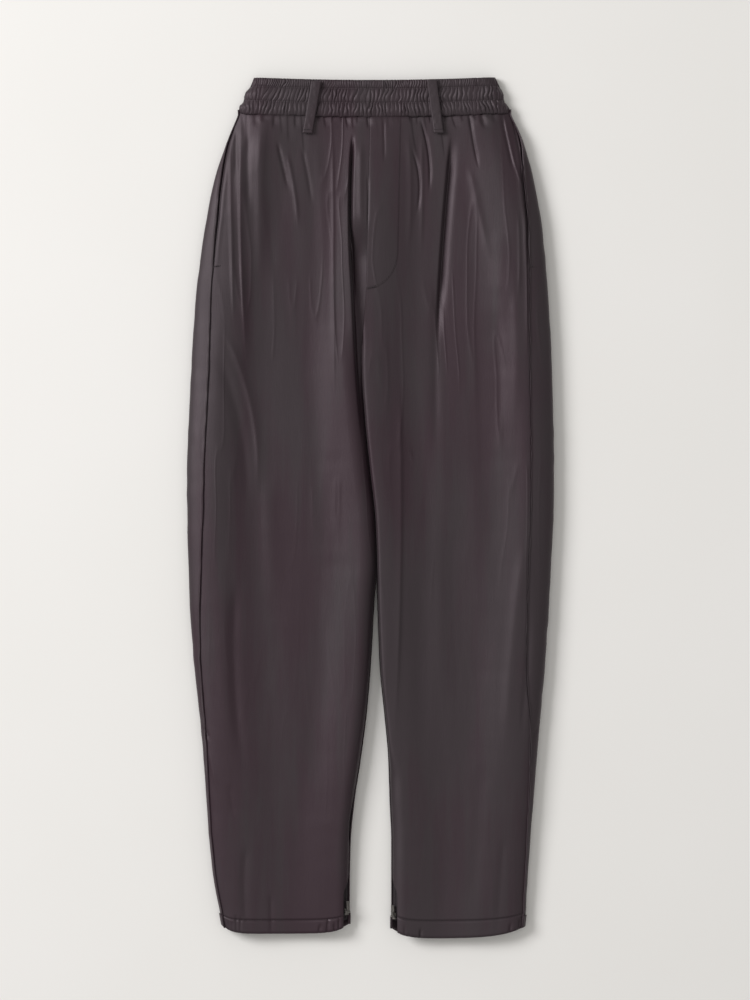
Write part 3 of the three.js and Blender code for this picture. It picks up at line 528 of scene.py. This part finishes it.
def edged(points, normals, laps, inner_fold, hem):
    """A panel's grid with its edges turned in, so that its seams and hem look folded, not cut.

    laps gives (out, down) of the first and last column's fold, and inner_fold how the first column goes on.
    """
    def extra(edge, before, n, out, down):
        away = edge - before
        away = away / np.maximum(np.linalg.norm(away, axis=-1, keepdims=True), 1e-9)
        return edge + away * out - n * down

    (first_out, first_down), (last_out, last_down) = laps
    first = extra(points[:, 0], points[:, 1], normals[:, 0], first_out, first_down)
    turned = extra(points[:, 0], points[:, 1], normals[:, 0], *EDGE_TURN)
    if inner_fold is not None:
        share, drop = inner_fold
        turned = turned * (1 - share) + (points[:, 0] + drop) * share
    steps = ((last_out, last_down), EDGE_TURN)
    last = [extra(points[:, -1], points[:, -2], normals[:, -1], *step) for step in steps]
    points = np.concatenate([turned[:, None], first[:, None], points, np.stack(last, 1)], 1)
    normals = np.concatenate([normals[:, :1]] * 2 + [normals] + [normals[:, -1:]] * 2, 1)
    rows = [extra(points[-1], points[-2], normals[-1], *step) for step in HEM_TURN]
    # The hem's turned-in part follows the panel's own rows back up.
    middle = points.shape[1] // 2
    for height in (HEM_TURN_HEIGHT, hem):
        row = np.argmin(np.abs(points[:, middle, 1] - points[-1, middle, 1] - height))
        rows.append(points[row] - normals[row] * HEM_TURN_DEPTH)
    return np.concatenate([points, np.stack(rows)], 0)


def spaced(count, dense):
    """Shares from 0 to 1, closer together near each (place, reach, extra) of dense."""
    t = np.linspace(0, 1, 2001)
    weight = np.ones_like(t)
    for place, reach, extra in dense:
        weight += extra * np.exp(-(((t - place) / reach) ** 2))
    total = np.concatenate([[0], np.cumsum((weight[1:] + weight[:-1]) / 2)])
    return np.interp(np.linspace(0, total[-1], count), total, t)


def panel(name, skin, half, material, rows, columns, dense):
    """One leg panel as a fine grid with turned edges."""
    top = BAND_BOTTOM + 2.5
    down = spaced(rows, ((0.0, 0.06, 1.0), ((top - hem_stitch_y(0)) / (top - HEM_NOMINAL), 0.007, 12.0)))
    y = (top + (HEM_NOMINAL - top) * down)[:, None]
    share = spaced(columns, dense)[None, :]
    y, share = np.broadcast_arrays(y, share)
    points = skin(half, share, y)
    normals = grid_normals(points)
    if half["side"] < 0:
        normals = -normals
    if skin is front_skin:
        normals = np.where(normals[..., 2:3] < -0.2, -normals, normals)
    laps = ((0.12, 0.45), (0.42, 0.2)) if skin is front_skin else ((0.3, 0.7), (0.12, 0.45))
    inner_fold = None
    # Beside the groove, the right front's edge at the middle seam reaches down to the left front.
    if skin is front_skin and half["side"] > 0:
        beside = smooth((y[:, :1] - 172) / 12) * smooth((355 - y[:, :1]) / 30)
        inner_fold = (beside, np.array([0.4, 0, -13.0]))
    points = edged(points, normals, laps, inner_fold, HEM_DEPTH)
    points[..., 2] = np.maximum(points[..., 2], 0.0)
    faces = grid_faces(points.shape[0], points.shape[1])
    return mesh_object(name, points.reshape(-1, 3), faces, material)


def band_ring(turn, y):
    """The waistband's plain skin. turn is 0 at the left edge, 1 at the right over the top, 2 back below."""
    left, right, height = BAND["left"](y), BAND["right"](y), BAND["height"](y)
    middle = height * MIDDLE_SHARE
    under = turn > 1
    t = np.where(under, 2 - turn, turn)
    roll = np.where(under, 9.0, 17.0)
    high = np.where(under, -middle, height - middle)
    share = 0.08
    a = math.pi / 2 * np.clip(t / share, 0, 1)
    b = math.pi / 2 * np.clip((1 - t) / share, 0, 1)
    start, stop = -left + roll, right - roll
    x_flat = start + (stop - start) * (t - share) / (1 - 2 * share)
    x_left = -left + roll * (1 - np.cos(a))
    x_right = right - roll * (1 - np.cos(b))
    x = np.where(t < share, x_left, np.where(t > 1 - share, x_right, x_flat))
    bend = np.where(t < share, np.sin(a), np.where(t > 1 - share, np.sin(b), 1.0))
    return x, middle + high * bend


# The gathers of each shirred row, from the top: pitch in mm, lean at both ends, depth and the row's swell.
SHIRRED_ROWS = (
    {"pitch": 2.7, "lean_left": 0.05, "lean_right": -0.05, "depth": 0.95, "swell": 1.4},
    {"pitch": 4.8, "lean_left": 0.36, "lean_right": 0.05, "depth": 1.45, "swell": 2.0},
    {"pitch": 4.6, "lean_left": 0.16, "lean_right": -0.2, "depth": 1.4, "swell": 2.0},
)


def shirring(x, y):
    """Height of the shirred rows: uneven puckers, pinched at the stitch lines and forked beside them."""
    noise = Noise(SEED + 5)
    lines = (BAND_TOP + 0.5, *BAND_STITCH_LINES, BAND_BOTTOM - 2.0)
    lift = np.zeros_like(y)
    for index, (row, high, low) in enumerate(zip(SHIRRED_ROWS, lines[:-1], lines[1:])):
        t = (high - y) / (high - low)
        inside = (t >= 0) & (t <= 1)
        lean = row["lean_left"] + (row["lean_right"] - row["lean_left"]) * smooth((x + 100) / 240)
        lean = lean * (1 + 0.5 * noise(x / 17 + 9 * index, 3.5 + 0 * y))
        place = x - lean * (y - (high + low) / 2)
        wander = 1.9 * noise(place / 9 + 31 * index, y / 9)
        jitter = 0.8 * noise(place / 3.5 + 11 * index, y / 6 + 40)
        place = place + wander + jitter
        phase = math.pi * (place / row["pitch"] + 1.1 * noise(place / 26 + 13 * index, 5.5 + 0 * y))
        main = np.abs(np.sin(phase)) ** 0.75 - 0.66
        fork = np.abs(np.sin(2 * phase + 1.1 * noise(place / 8 + 3, 1.5 + 0 * y))) ** 0.8 - 0.64
        strength = np.clip(0.62 + 0.75 * noise(place / 6 + 17 * index + 5, y / 30 + 2), 0.35, 1.4)
        body = hump(t) ** 0.5
        gathered = main * strength * (0.45 + 0.55 * body) + 0.45 * fork * (1 - body) ** 1.5
        crease = 0.16 * noise(place / 1.4 + 9 * index, y / 7 + 70)
        lift = np.where(inside, row["swell"] * body + row["depth"] * gathered + crease, lift)
    return lift


def waistband(name, turns, material, rows, columns, shirred):
    """Half of the waistband's ring. The shirred side has three gathered rows between stitch lines."""
    y = np.linspace(BAND_TOP, BAND_BOTTOM - 2.0, rows)[:, None]
    turn = np.linspace(turns[0], turns[1], columns)[None, :]
    y, turn = np.broadcast_arrays(y, turn)
    x, z = band_ring(turn, y)
    points = np.stack([x, y, z], -1)
    normals = grid_normals(points)
    if (normals[rows // 2, columns // 2, 2] < 0) == shirred:
        normals = -normals
    normals[..., 1] = 0
    normals = normals / np.linalg.norm(normals, axis=-1, keepdims=True)
    if shirred:
        lift = shirring(x, y)
        points = points + normals * (lift - 1.5)[..., None]
        # The lowest rows wave up and down with the gathers, like a scalloped edge.
        low = smooth((BAND_BOTTOM + 5 - y) / 6)
        points[..., 1] += low * (0.7 * (lift - 0.8) + 1.0 * RIPPLE_FINE(x / 5 + 60, 2.5 + 0 * y))
        high = smooth((y - BAND_TOP + 3) / 3)
        points[..., 1] += high * 0.5 * (lift - 1.0)
    points[..., 1] += waist_dip(points[..., 0])

    def turned(row, steps):
        return np.stack([points[row] - normals[row] * inward + np.array([0, up, 0]) for inward, up in steps])

    points = np.concatenate([turned(0, BAND_TOP_TURN), points, turned(-1, BAND_BOTTOM_TURN)], 0)
    points[..., 2] = np.maximum(points[..., 2], 0.0)
    return mesh_object(name, points.reshape(-1, 3), grid_faces(points.shape[0], points.shape[1]), material)


def mock_fly(name, material):
    """The placket on the right front, with its J-shaped lower end."""
    half = HALVES["right"]
    rows, columns = 150, 34
    y = np.linspace(FLY_TOP + 2, FLY_BOTTOM, rows)[:, None]
    across = np.linspace(0, 1, columns)[None, :]
    y, across = np.broadcast_arrays(y, across)
    s = section_at(half, y)
    bend = np.clip((FLY_CURVE_START - y) / (FLY_CURVE_START - FLY_BOTTOM), 0, 1)
    reach = 4 + (FLY_WIDTH - 4) * np.sqrt(1 - 0.985 * bend * bend)
    x = s["inner"] + 0.2 + (reach - 0.2) * across
    z = top_height(s, x, y, x - s["inner"], s["edge"] - x)
    rim = np.minimum(1, np.minimum(across, 1 - across) * reach / 1.2)
    z = z + 0.25 + 0.22 * np.sqrt(np.clip(rim, 0, 1))
    points = np.stack([x, shifted_y(half, s, x, y), z], -1)
    return mesh_object(name, points.reshape(-1, 3), grid_faces(rows, columns), material)


def fly_line(inset):
    """Points of the J-shaped line on the fly, inset from its edge."""
    half = HALVES["right"]
    straight = np.linspace(FLY_TOP - 1, FLY_CURVE_START, 60)
    bend = np.linspace(0, 1, 40)[1:]
    curved = FLY_CURVE_START - (FLY_CURVE_START - FLY_BOTTOM - inset) * np.sin(bend * math.pi / 2)
    y = np.concatenate([straight, curved])
    narrowing = 3 + (FLY_WIDTH - inset - 3) * np.cos(bend * math.pi / 2)
    reach = np.concatenate([np.full(len(straight), FLY_WIDTH - inset), narrowing])
    s = section_at(half, y)
    x = s["inner"] + reach
    z = top_height(s, x, y, x - s["inner"], s["edge"] - x) + 0.55
    return np.stack([x, shifted_y(half, s, x, y), z], -1)


def resample(points, spacing):
    """Even steps along a path of points."""
    lengths = np.concatenate([[0], np.cumsum(np.linalg.norm(np.diff(points, axis=0), axis=1))])
    count = max(2, int(lengths[-1] / spacing) + 1)
    marks = np.linspace(0, lengths[-1], count)
    return np.stack([np.interp(marks, lengths, points[:, k]) for k in range(3)], -1)


def add_tube(vertices, faces, rings):
    """Adds a tube through rings of points, with both ends closed."""
    start = len(vertices)
    sides = len(rings[0])
    for ring in rings:
        vertices.extend(ring)
    faces += grid_faces(len(rings), sides, start, closed=True)
    faces.append([start + j for j in range(sides)])
    faces.append([start + (len(rings) - 1) * sides + j for j in reversed(range(sides))])


def stitches(name, paths, material, length=2.3, spacing=3.1, radius=0.28):
    """Rows of short sewn threads along paths, joined into one mesh."""
    sides, steps = 5, 4
    angles = [2 * math.pi * j / sides for j in range(sides)]
    vertices, faces = [], []
    for path in paths:
        marks = resample(np.asarray(path, float), spacing)
        for a, b in zip(marks[:-1], marks[1:]):
            along = (b - a) / np.linalg.norm(b - a)
            across = np.cross([0, 0, 1.0], along)
            across = across / max(np.linalg.norm(across), 1e-9)
            up = np.cross(along, across)
            centre = (a + b) / 2
            rings = []
            for k in range(steps):
                t = k / (steps - 1)
                swell = radius * (0.35 + 0.65 * math.sin(math.pi * t))
                spine = centre + along * (t - 0.5) * length + up * (0.25 * math.sin(math.pi * t) - 0.12)
                rings.append([spine + swell * (math.cos(w) * across + math.sin(w) * up) for w in angles])
            add_tube(vertices, faces, rings)
    return mesh_object(name, vertices, faces, material)


def bar_tack(centre, direction, length, height, width=2.0, passes=9):
    """A dense zigzag of thread, as a path."""
    along = np.array([direction[0], direction[1], 0.0])
    along = along / np.linalg.norm(along)
    across = np.array([-along[1], along[0], 0.0])
    path = []
    for k in range(passes * 2 + 1):
        t = k / (passes * 2) - 0.5
        swing = across * (width / 2) * (1 if k % 2 else -1)
        path.append(np.array(centre) + along * t * length + swing + [0, 0, height])
    return np.array(path)


def belt_loop(name, side, top_x, bottom_x, top_y, bottom_y, material):
    """A folded strip over the waistband, with its ends turned under."""
    rows, columns = 90, 18
    half = HALVES[side]
    t = np.linspace(0, 1, rows)[:, None]
    c = np.linspace(-1, 1, columns)[None, :]
    t, c = np.broadcast_arrays(t, c)
    y = top_y + (bottom_y - top_y) * t
    s = section_at(half, np.minimum(y, BAND_BOTTOM))
    band_high = BAND["height"](y) + 1.95
    panel_high = s["height"] + 1.55
    blend = smooth((y - (BAND_BOTTOM - 10)) / 8)
    high = panel_high + (np.maximum(band_high, panel_high) - panel_high) * blend
    x = top_x + (bottom_x - top_x) * t + c * LOOP_WIDTH / 2 * (1 - 0.02 * hump(t * 2 % 1))
    rim = np.sqrt(np.clip((1 - np.abs(c)) * 7, 0, 1))
    ends = np.sqrt(np.clip(np.minimum(t, 1 - t) * 40, 0, 1))
    crown = 0.25 * (1 - c * c) + 0.16 * RIPPLE_FINE(x / 3 + 11, y / 4)
    z = high + 0.35 + 1.25 * rim * ends + crown
    y = y + waist_dip(x)
    top = np.stack([x, y, z], -1)
    low = np.stack([x, y, np.broadcast_to(high + 0.3, x.shape)], -1)
    points = np.concatenate([top, low[::-1]], 0)
    return mesh_object(name, points.reshape(-1, 3), grid_faces(points.shape[0], columns), material)


def pocket_bag(name, side, material):
    """The folded pocket bag inside, open towards the outseam."""
    half = HALVES[side]
    rows, leaf = 60, 30
    depth, top, bottom = 90.0, 452.0, 232.0
    r = np.linspace(0, 1, rows)[:, None]
    c = np.concatenate([np.linspace(0, 1, leaf), np.linspace(1, 0, leaf)])[None, :]
    fall = np.concatenate([np.zeros(leaf), np.full(leaf, 3.0)])[None, :] + 0.3
    r, c, fall = np.broadcast_arrays(r, c, fall)
    y = top + (bottom - top) * r
    s = section_at(half, y)
    reach = depth * (0.55 + 0.45 * smooth(r * 8 / 3))
    outward = np.maximum(s["strip"] + 3, 12) + reach * c
    x = s["edge"] - half["side"] * outward
    b = np.clip(1 - outward / s["roll_out"], 0, 1)
    rise = s["height"] - s["middle"]
    sink = s["sag"] * smooth((outward - 30) / 60)
    base = s["height"] - rise * (1 - np.sqrt(1 - b * b)) - sink
    under = 1.7 + 1.4 * smooth((y - 330) / 90) + 5 * smooth((outward - 12) / 36)
    z = base - under - fall + 0.15 * RIPPLE_FINE(x / 9, y / 12)
    points = np.stack([x, shifted_y(half, s, x, y), z], -1)
    return mesh_object(name, points.reshape(-1, 3), grid_faces(rows, 2 * leaf), material)


def zip_frame(half, y):
    """The zip's middle at each y, half its width, and the directions across it and away from the leg."""
    s = section_at(half, y)
    side = half["side"]
    rise = s["height"] - s["middle"]

    def edge_at(angle):
        x = s["inner"] + side * s["roll_in"] * (1 - np.cos(angle))
        return np.stack([x, y, s["middle"] + rise * np.sin(angle)], -1)

    back, front = edge_at(s["back_angle"]), edge_at(s["front_angle"])
    width = np.linalg.norm(front - back, axis=-1, keepdims=True)
    across = (front - back) / np.maximum(width, 1e-6)
    away = np.stack([-side * across[..., 2], 0 * y, side * across[..., 0]], -1)
    return (back + front) / 2, np.maximum(width / 2 - ZIP_SEAM_GAP, 0.25), across, away


def zip_tape(name, side, material):
    """The closed zip's woven tape, between the front's edge and the back's raised edge."""
    rows, columns = 90, 14
    y = np.linspace(TAPE_TOP, ZIP_BOTTOM, rows)
    middle, half_width, across, away = (part[:, None] for part in zip_frame(HALVES[side], y))
    c = np.linspace(-1, 1, columns)[None, :, None]
    outer = middle + across * c * half_width - away * (ZIP_INSET + 0.15 * np.abs(c))
    inner = outer - away * 0.9 - across * c * 0.6
    points = np.concatenate([outer, inner[:, ::-1]], 1)
    faces = grid_faces(rows, 2 * columns, closed=True)
    return mesh_object(name, points.reshape(-1, 3), faces, material)


def zip_teeth(name, side, material):
    """Two rows of coil teeth that mesh along the tape's middle."""
    pitch, sides, steps = 1.5, 6, 5
    angles = [2 * math.pi * j / sides for j in range(sides)]
    vertices, faces = [], []
    count = int((TEETH_TOP - ZIP_BOTTOM) / pitch)
    y = TEETH_TOP - pitch * np.arange(count)
    middles, _, acrosses, aways = zip_frame(HALVES[side], y)
    for k in range(count):
        way = 1 if k % 2 else -1
        rings = []
        for step in range(steps):
            t = step / (steps - 1)
            lift = 0.2 * math.sin(math.pi * t) - 0.35
            spine = middles[k] + acrosses[k] * way * (1.5 - 2.0 * t) + aways[k] * lift
            round_off = [(0.42 * math.cos(w), np.array([0, 0.52 * math.sin(w), 0])) for w in angles]
            rings.append([spine + aways[k] * out + along for out, along in round_off])
        add_tube(vertices, faces, rings)
    return mesh_object(name, vertices, faces, material)


def srgb(r, g, b):
    """A colour as linear values with alpha, from 0 to 255 display values."""
    def linear(v):
        v = v / 255
        return v / 12.92 if v <= 0.04045 else ((v + 0.055) / 1.055) ** 2.4

    return (linear(r), linear(g), linear(b), 1.0)


class Nodes:
    """Short calls for building a material's nodes."""

    def __init__(self, name):
        self.material = bpy.data.materials.new(name)
        self.material.use_nodes = True
        self.tree = self.material.node_tree
        self.shader = self.tree.nodes["Principled BSDF"]
        self.coordinates = self.add("ShaderNodeTexCoord")

    def add(self, kind, **values):
        node = self.tree.nodes.new(kind)
        for key, value in values.items():
            setattr(node, key, value)
        return node

    def link(self, output, target):
        self.tree.links.new(output, target)

    def scaled(self, scale, rotation=(0, 0, 0)):
        """Object coordinates in metres, scaled along each axis."""
        node = self.add("ShaderNodeMapping")
        node.inputs["Scale"].default_value = scale
        node.inputs["Rotation"].default_value = rotation
        self.link(self.coordinates.outputs["Object"], node.inputs["Vector"])
        return node.outputs["Vector"]

    def noise(self, scale, detail=3.0, roughness=0.55):
        node = self.add("ShaderNodeTexNoise")
        node.inputs["Scale"].default_value = 1.0
        node.inputs["Detail"].default_value = detail
        node.inputs["Roughness"].default_value = roughness
        self.link(self.scaled(scale), node.inputs["Vector"])
        return node.outputs["Fac"]

    def sum_of(self, *parts):
        """The sum of (value, weight) pairs."""
        total = None
        for value, weight in parts:
            node = self.add("ShaderNodeMath", operation="MULTIPLY_ADD")
            node.inputs[1].default_value = weight
            node.inputs[2].default_value = 0.0
            self.link(value, node.inputs[0])
            if total is not None:
                self.link(total, node.inputs[2])
            total = node.outputs["Value"]
        return total

    def ramp(self, factor, stops):
        node = self.add("ShaderNodeValToRGB")
        first, last = node.color_ramp.elements
        first.position, first.color = stops[0]
        last.position, last.color = stops[-1]
        for position, color in stops[1:-1]:
            node.color_ramp.elements.new(position).color = color
        self.link(factor, node.inputs["Fac"])
        return node.outputs["Color"]

    def mapped(self, value, low, high, to_low, to_high):
        node = self.add("ShaderNodeMapRange")
        for key, number in zip(("From Min", "From Max", "To Min", "To Max"), (low, high, to_low, to_high)):
            node.inputs[key].default_value = number
        self.link(value, node.inputs["Value"])
        return node.outputs["Result"]

    def weave(self, pitch, angle):
        """Fine threads across the plane, as bands."""
        node = self.add("ShaderNodeTexWave", wave_type="BANDS", bands_direction="X")
        node.inputs["Scale"].default_value = 1.0
        node.inputs["Distortion"].default_value = 0.4
        scale = 1.0 / pitch / math.pi
        self.link(self.scaled((scale, scale, scale), (0, 0, angle)), node.inputs["Vector"])
        return node.outputs["Fac"]

    def bump(self, height, strength, distance, normal=None):
        node = self.add("ShaderNodeBump")
        node.inputs["Strength"].default_value = strength
        node.inputs["Distance"].default_value = distance
        self.link(height, node.inputs["Height"])
        if normal is not None:
            self.link(normal, node.inputs["Normal"])
        return node.outputs["Normal"]


def cloth_material(name, dark, light, roughness=0.48, sheen=0.08, twill=0.0007):
    """Silky dark cloth: uneven colour, partly the cloth's own tone and partly painted sheen, soft gloss,
    fine twill and small crumples.
    """
    n = Nodes(name)
    clouds = n.noise((5.0, 2.4, 5.0), detail=4.0)
    streaks = n.noise((240.0, 9.0, 240.0), detail=2.0)
    painted_sheen_patches = n.noise((16.0, 5.0, 16.0), detail=3.0)
    bands = n.noise((42.0, 4.0, 42.0), detail=2.0)
    # The base colour mixes the cloth's own uneven tone (broad clouds, fine slub streaks) with painted sheen:
    # greyer patches and long bands where silk's sheen would catch the light. The patches also vary the
    # gloss.
    mixed = n.sum_of((clouds, 0.5), (painted_sheen_patches, 0.3), (bands, 0.3), (streaks, 0.08))
    n.link(n.ramp(mixed, [(0.53, dark), (0.65, light)]), n.shader.inputs["Base Color"])
    n.link(n.mapped(painted_sheen_patches, 0.3, 0.7, roughness - 0.06, roughness + 0.07), n.shader.inputs["Roughness"])
    n.shader.inputs["Specular IOR Level"].default_value = 0.42
    n.shader.inputs["Specular Tint"].default_value = (1.0, 0.86, 0.94, 1)
    n.shader.inputs["Sheen Weight"].default_value = sheen
    n.shader.inputs["Sheen Roughness"].default_value = 0.45
    n.shader.inputs["Sheen Tint"].default_value = (0.9, 0.8, 0.86, 1)
    crumple = n.bump(n.noise((60.0, 16.0, 60.0), detail=4.0, roughness=0.6), 0.22, 0.0010)
    slub = n.bump(n.noise((900.0, 60.0, 900.0), detail=1.0), 0.25, 0.0003, crumple)
    twilled = n.bump(n.weave(twill, math.radians(38)), 0.22, 0.00015, slub)
    n.link(twilled, n.shader.inputs["Normal"])
    return n.material


def thread_material(name, color):
    """Matt sewing thread with a twist."""
    n = Nodes(name)
    twist = n.noise((900.0, 900.0, 900.0), detail=1.0)
    brighter = tuple(min(1.0, c * 1.6) for c in color[:3]) + (1.0,)
    n.link(n.ramp(twist, [(0.35, color), (0.7, brighter)]), n.shader.inputs["Base Color"])
    n.shader.inputs["Roughness"].default_value = 0.6
    n.link(n.bump(twist, 0.4, 0.0002), n.shader.inputs["Normal"])
    return n.material


def metal_material(name):
    """Satin zip metal with fine scratches."""
    n = Nodes(name)
    scratches = n.noise((1500.0, 180.0, 400.0), detail=3.0)
    shades = [(0.3, srgb(104, 102, 100)), (0.7, srgb(158, 155, 151))]
    n.link(n.ramp(scratches, shades), n.shader.inputs["Base Color"])
    n.shader.inputs["Metallic"].default_value = 1.0
    n.link(n.mapped(scratches, 0.3, 0.7, 0.3, 0.45), n.shader.inputs["Roughness"])
    n.link(n.bump(scratches, 0.2, 0.0001), n.shader.inputs["Normal"])
    return n.material


def floor_material(name):
    """A pale even floor."""
    n = Nodes(name)
    mottle = n.noise((3.0, 3.0, 3.0), detail=2.0)
    shades = [(0.3, (0.80, 0.792, 0.776, 1)), (0.7, (0.815, 0.807, 0.795, 1))]
    n.link(n.ramp(mottle, shades), n.shader.inputs["Base Color"])
    n.shader.inputs["Roughness"].default_value = 0.75
    n.shader.inputs["Specular IOR Level"].default_value = 0.25
    n.link(n.bump(n.noise((300.0, 300.0, 300.0)), 0.03, 0.0004), n.shader.inputs["Normal"])
    return n.material


def area_light(name, place, target, size, power, color=(1, 1, 1)):
    """A soft square light that looks at a point."""
    data = bpy.data.lights.new(name, "AREA")
    data.shape = "SQUARE"
    data.size = size
    data.energy = power
    data.color = color
    made = bpy.data.objects.new(name, data)
    made.location = place
    way = Vector(target) - Vector(place)
    made.rotation_euler = way.to_track_quat("-Z", "Y").to_euler()
    bpy.context.scene.collection.objects.link(made)
    return made


def set_the_stage():
    """Floor, camera at the photo's angle and soft light from the upper left."""
    scene = bpy.context.scene
    floor_reach, floor_z = 4000, -0.05
    corners = [(x * floor_reach, y * floor_reach, floor_z) for x, y in ((-1, -1), (1, -1), (1, 1), (-1, 1))]
    mesh_object("floor", corners, [[0, 1, 2, 3]], floor_material("pale_floor"))
    # The photo shows 1.2 mm to a pixel, and its middle is 5.4 mm right of and 9 mm above the garment's.
    camera_height, seen_height, middle_x, middle_y = 6.0, 1.2, 0.0054, 0.009
    data = bpy.data.cameras.new("camera")
    data.sensor_width = 36.0
    data.lens = data.sensor_width * camera_height / seen_height
    data.clip_end = 50
    camera = bpy.data.objects.new("camera", data)
    camera.location = (middle_x, middle_y, camera_height)
    scene.collection.objects.link(camera)
    scene.camera = camera
    area_light("key", (-3.7, 1.85, 3.2), (0, 0, 0), 2.2, 226, (1.0, 0.99, 0.985))
    area_light("fill", (0.5, -0.5, 5.0), (0, 0, 0), 4.0, 30, (1.0, 0.985, 0.96))
    world = bpy.data.worlds.new("room")
    world.use_nodes = True
    world.node_tree.nodes["Background"].inputs["Color"].default_value = (1.0, 0.98, 0.945, 1)
    world.node_tree.nodes["Background"].inputs["Strength"].default_value = 0.43
    scene.world = world
    scene.view_settings.view_transform = "Standard"
    scene.view_settings.look = "None"


def keep(made, slot, *nodes):
    """Lets a new piece ride on the garment, in place of the nodes given, which are hidden. slot is not used.
    """
    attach(made, "root")
    if nodes:
        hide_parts(*nodes)
    return made


def skin_point(half, x, y, above):
    """A point of the top skin at x and y, raised by a distance."""
    s = section_at(half, np.array(float(y)))
    z = top_height(s, np.array(float(x)), np.array(float(y)), abs(x - s["inner"]), abs(s["edge"] - x))
    return np.array([x, float(shifted_y(half, s, x, y)), float(z) + above])


# Each belt loop's side, and where its middle line starts and ends.
LOOPS = (("left", -64.7, -75.4, 513.5, 450.5), ("right", 73.3, 81.8, 515.5, 450.5))
LOOP_TACKS = (0.05, 0.93)


def tacks():
    """Bar tacks at the pockets' ends, the fly's tip and both ends of each belt loop."""
    left, right = HALVES["left"], HALVES["right"]
    paths = [
        bar_tack(skin_point(left, -183.5, 288.5, 0.5), (1, 0.05), 9, 0.2),
        bar_tack(skin_point(right, 190.5, 288.5, 0.5), (1, -0.05), 9, 0.2),
        bar_tack(skin_point(right, 1.0, 263.0, 1.0), (1, 0.22), 11, 0.2),
    ]
    for side, top_x, bottom_x, top_y, bottom_y in LOOPS:
        for t in LOOP_TACKS:
            x, y = top_x + (bottom_x - top_x) * t, top_y + (bottom_y - top_y) * t
            if y > BAND_BOTTOM - 4:
                base = BAND["height"](np.array(max(y, BAND_BOTTOM))) + 2.0
            else:
                base = section_at(HALVES[side], np.array(y))["height"] + 1.6
            centre = (x, y + waist_dip(x), float(base) + 1.75)
            paths.append(bar_tack(centre, (1, 0), 10.5, 0.1, width=1.4))
    return paths


def hem_line(half):
    """The path of the hem's stitches across the front."""
    share = np.linspace(0.0, 1.0, 160)
    y = np.full_like(share, float(hem_stitch_y(np.array(half["side"] * 100.0))))
    return front_skin(half, share, y) + [0, 0, 0.15]


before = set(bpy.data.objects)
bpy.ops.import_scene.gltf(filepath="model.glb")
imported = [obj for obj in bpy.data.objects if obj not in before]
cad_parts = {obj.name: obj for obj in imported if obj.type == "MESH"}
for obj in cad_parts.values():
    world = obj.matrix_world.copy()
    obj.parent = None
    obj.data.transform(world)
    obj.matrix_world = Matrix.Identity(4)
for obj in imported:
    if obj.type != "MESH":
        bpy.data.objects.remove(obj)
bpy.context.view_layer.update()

# Materials.
shell = cloth_material("shell_cloth", srgb(41, 27, 34), srgb(43, 37, 40))
band_cloth = cloth_material("band_cloth", srgb(41, 29, 35), srgb(43, 37, 40), roughness=0.52)
bag_cloth = cloth_material("bag_cloth", srgb(36, 31, 34), srgb(48, 42, 45), roughness=0.7, sheen=0.1)
# The zip's tape and teeth are darker than the shell: partly the tape's own dark colour, partly painted shade
# of the slit beside each ankle's zip.
tape_cloth_and_painted_shade = cloth_material(
    "tape_cloth_and_painted_shade", srgb(24, 21, 23), srgb(34, 31, 33), roughness=0.75, sheen=0.1, twill=0.0005
)
thread = thread_material("thread", srgb(38, 30, 35))
metal = metal_material("zip_metal")

set_the_stage()

# Rows and columns of each grid, and where the panels' columns lie closer: (place, reach, extra).
FRONT_GRID = (340, 264)
BACK_GRID = (300, 130)
BAND_GRID = (64, 1200)
PLAIN_BAND_GRID = (24, 240)
FRONT_DENSE = {
    "left": ((0.1, 0.05, 3.5), (1.0, 0.03, 3.0), (0.8, 0.1, 0.6)),
    "right": ((0.05, 0.04, 0.8), (0.48, 0.12, 0.6), (1.0, 0.03, 3.0)),
}
BACK_DENSE = ((0.0, 0.05, 2.5), (0.3, 0.08, 0.8), (0.97, 0.05, 1.0))

# The legs, each with its pocket and zip.
for side, half in HALVES.items():
    back_name = f"back_{side}_cloth"
    front = panel(f"front_{side}_cloth", front_skin, half, shell, *FRONT_GRID, FRONT_DENSE[side])
    keep(front, "shell_cloth", f"front_{side}")
    back = panel(back_name, back_skin, half, shell, *BACK_GRID, BACK_DENSE)
    keep(back, "shell_cloth", f"back_{side}")
    bag = keep(pocket_bag(f"pocket_{side}_bag", side, bag_cloth), "pocket_cloth", f"pocket_{side}")
    tape = keep(zip_tape(f"zip_{side}_tape", side, tape_cloth_and_painted_shade), "zip_tape", f"zip_{side}")
    keep(zip_teeth(f"zip_{side}_teeth", side, tape_cloth_and_painted_shade), "zip_tape")
    for node in (f"slider_{side}", f"pull_{side}"):
        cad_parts[node].data.materials.clear()
        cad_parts[node].data.materials.append(metal)

# The waistband, the fly and the belt loops.
band_front = waistband("waistband_front_cloth", (0.004, 0.996), band_cloth, *BAND_GRID, True)
keep(band_front, "elastic_band", "waistband_front")
band_back = waistband("waistband_back_cloth", (1.004, 1.996), band_cloth, *PLAIN_BAND_GRID, False)
keep(band_back, "elastic_band", "waistband_back")

fly = keep(mock_fly("fly_placket", shell), "shell_cloth", "fly")

for side, top_x, bottom_x, top_y, bottom_y in LOOPS:
    loop = belt_loop(f"loop_{side}_strip", side, top_x, bottom_x, top_y, bottom_y, shell)
    keep(loop, "shell_cloth", f"loop_{side}")

# Sewing.
keep(stitches("bar_tacks", tacks(), thread, length=1.9, spacing=1.7, radius=0.24), "shell_cloth")
keep(stitches("fly_stitching", [fly_line(1.4)], thread), "shell_cloth")
keep(stitches("hem_stitching", [hem_line(half) for half in HALVES.values()], thread), "shell_cloth")
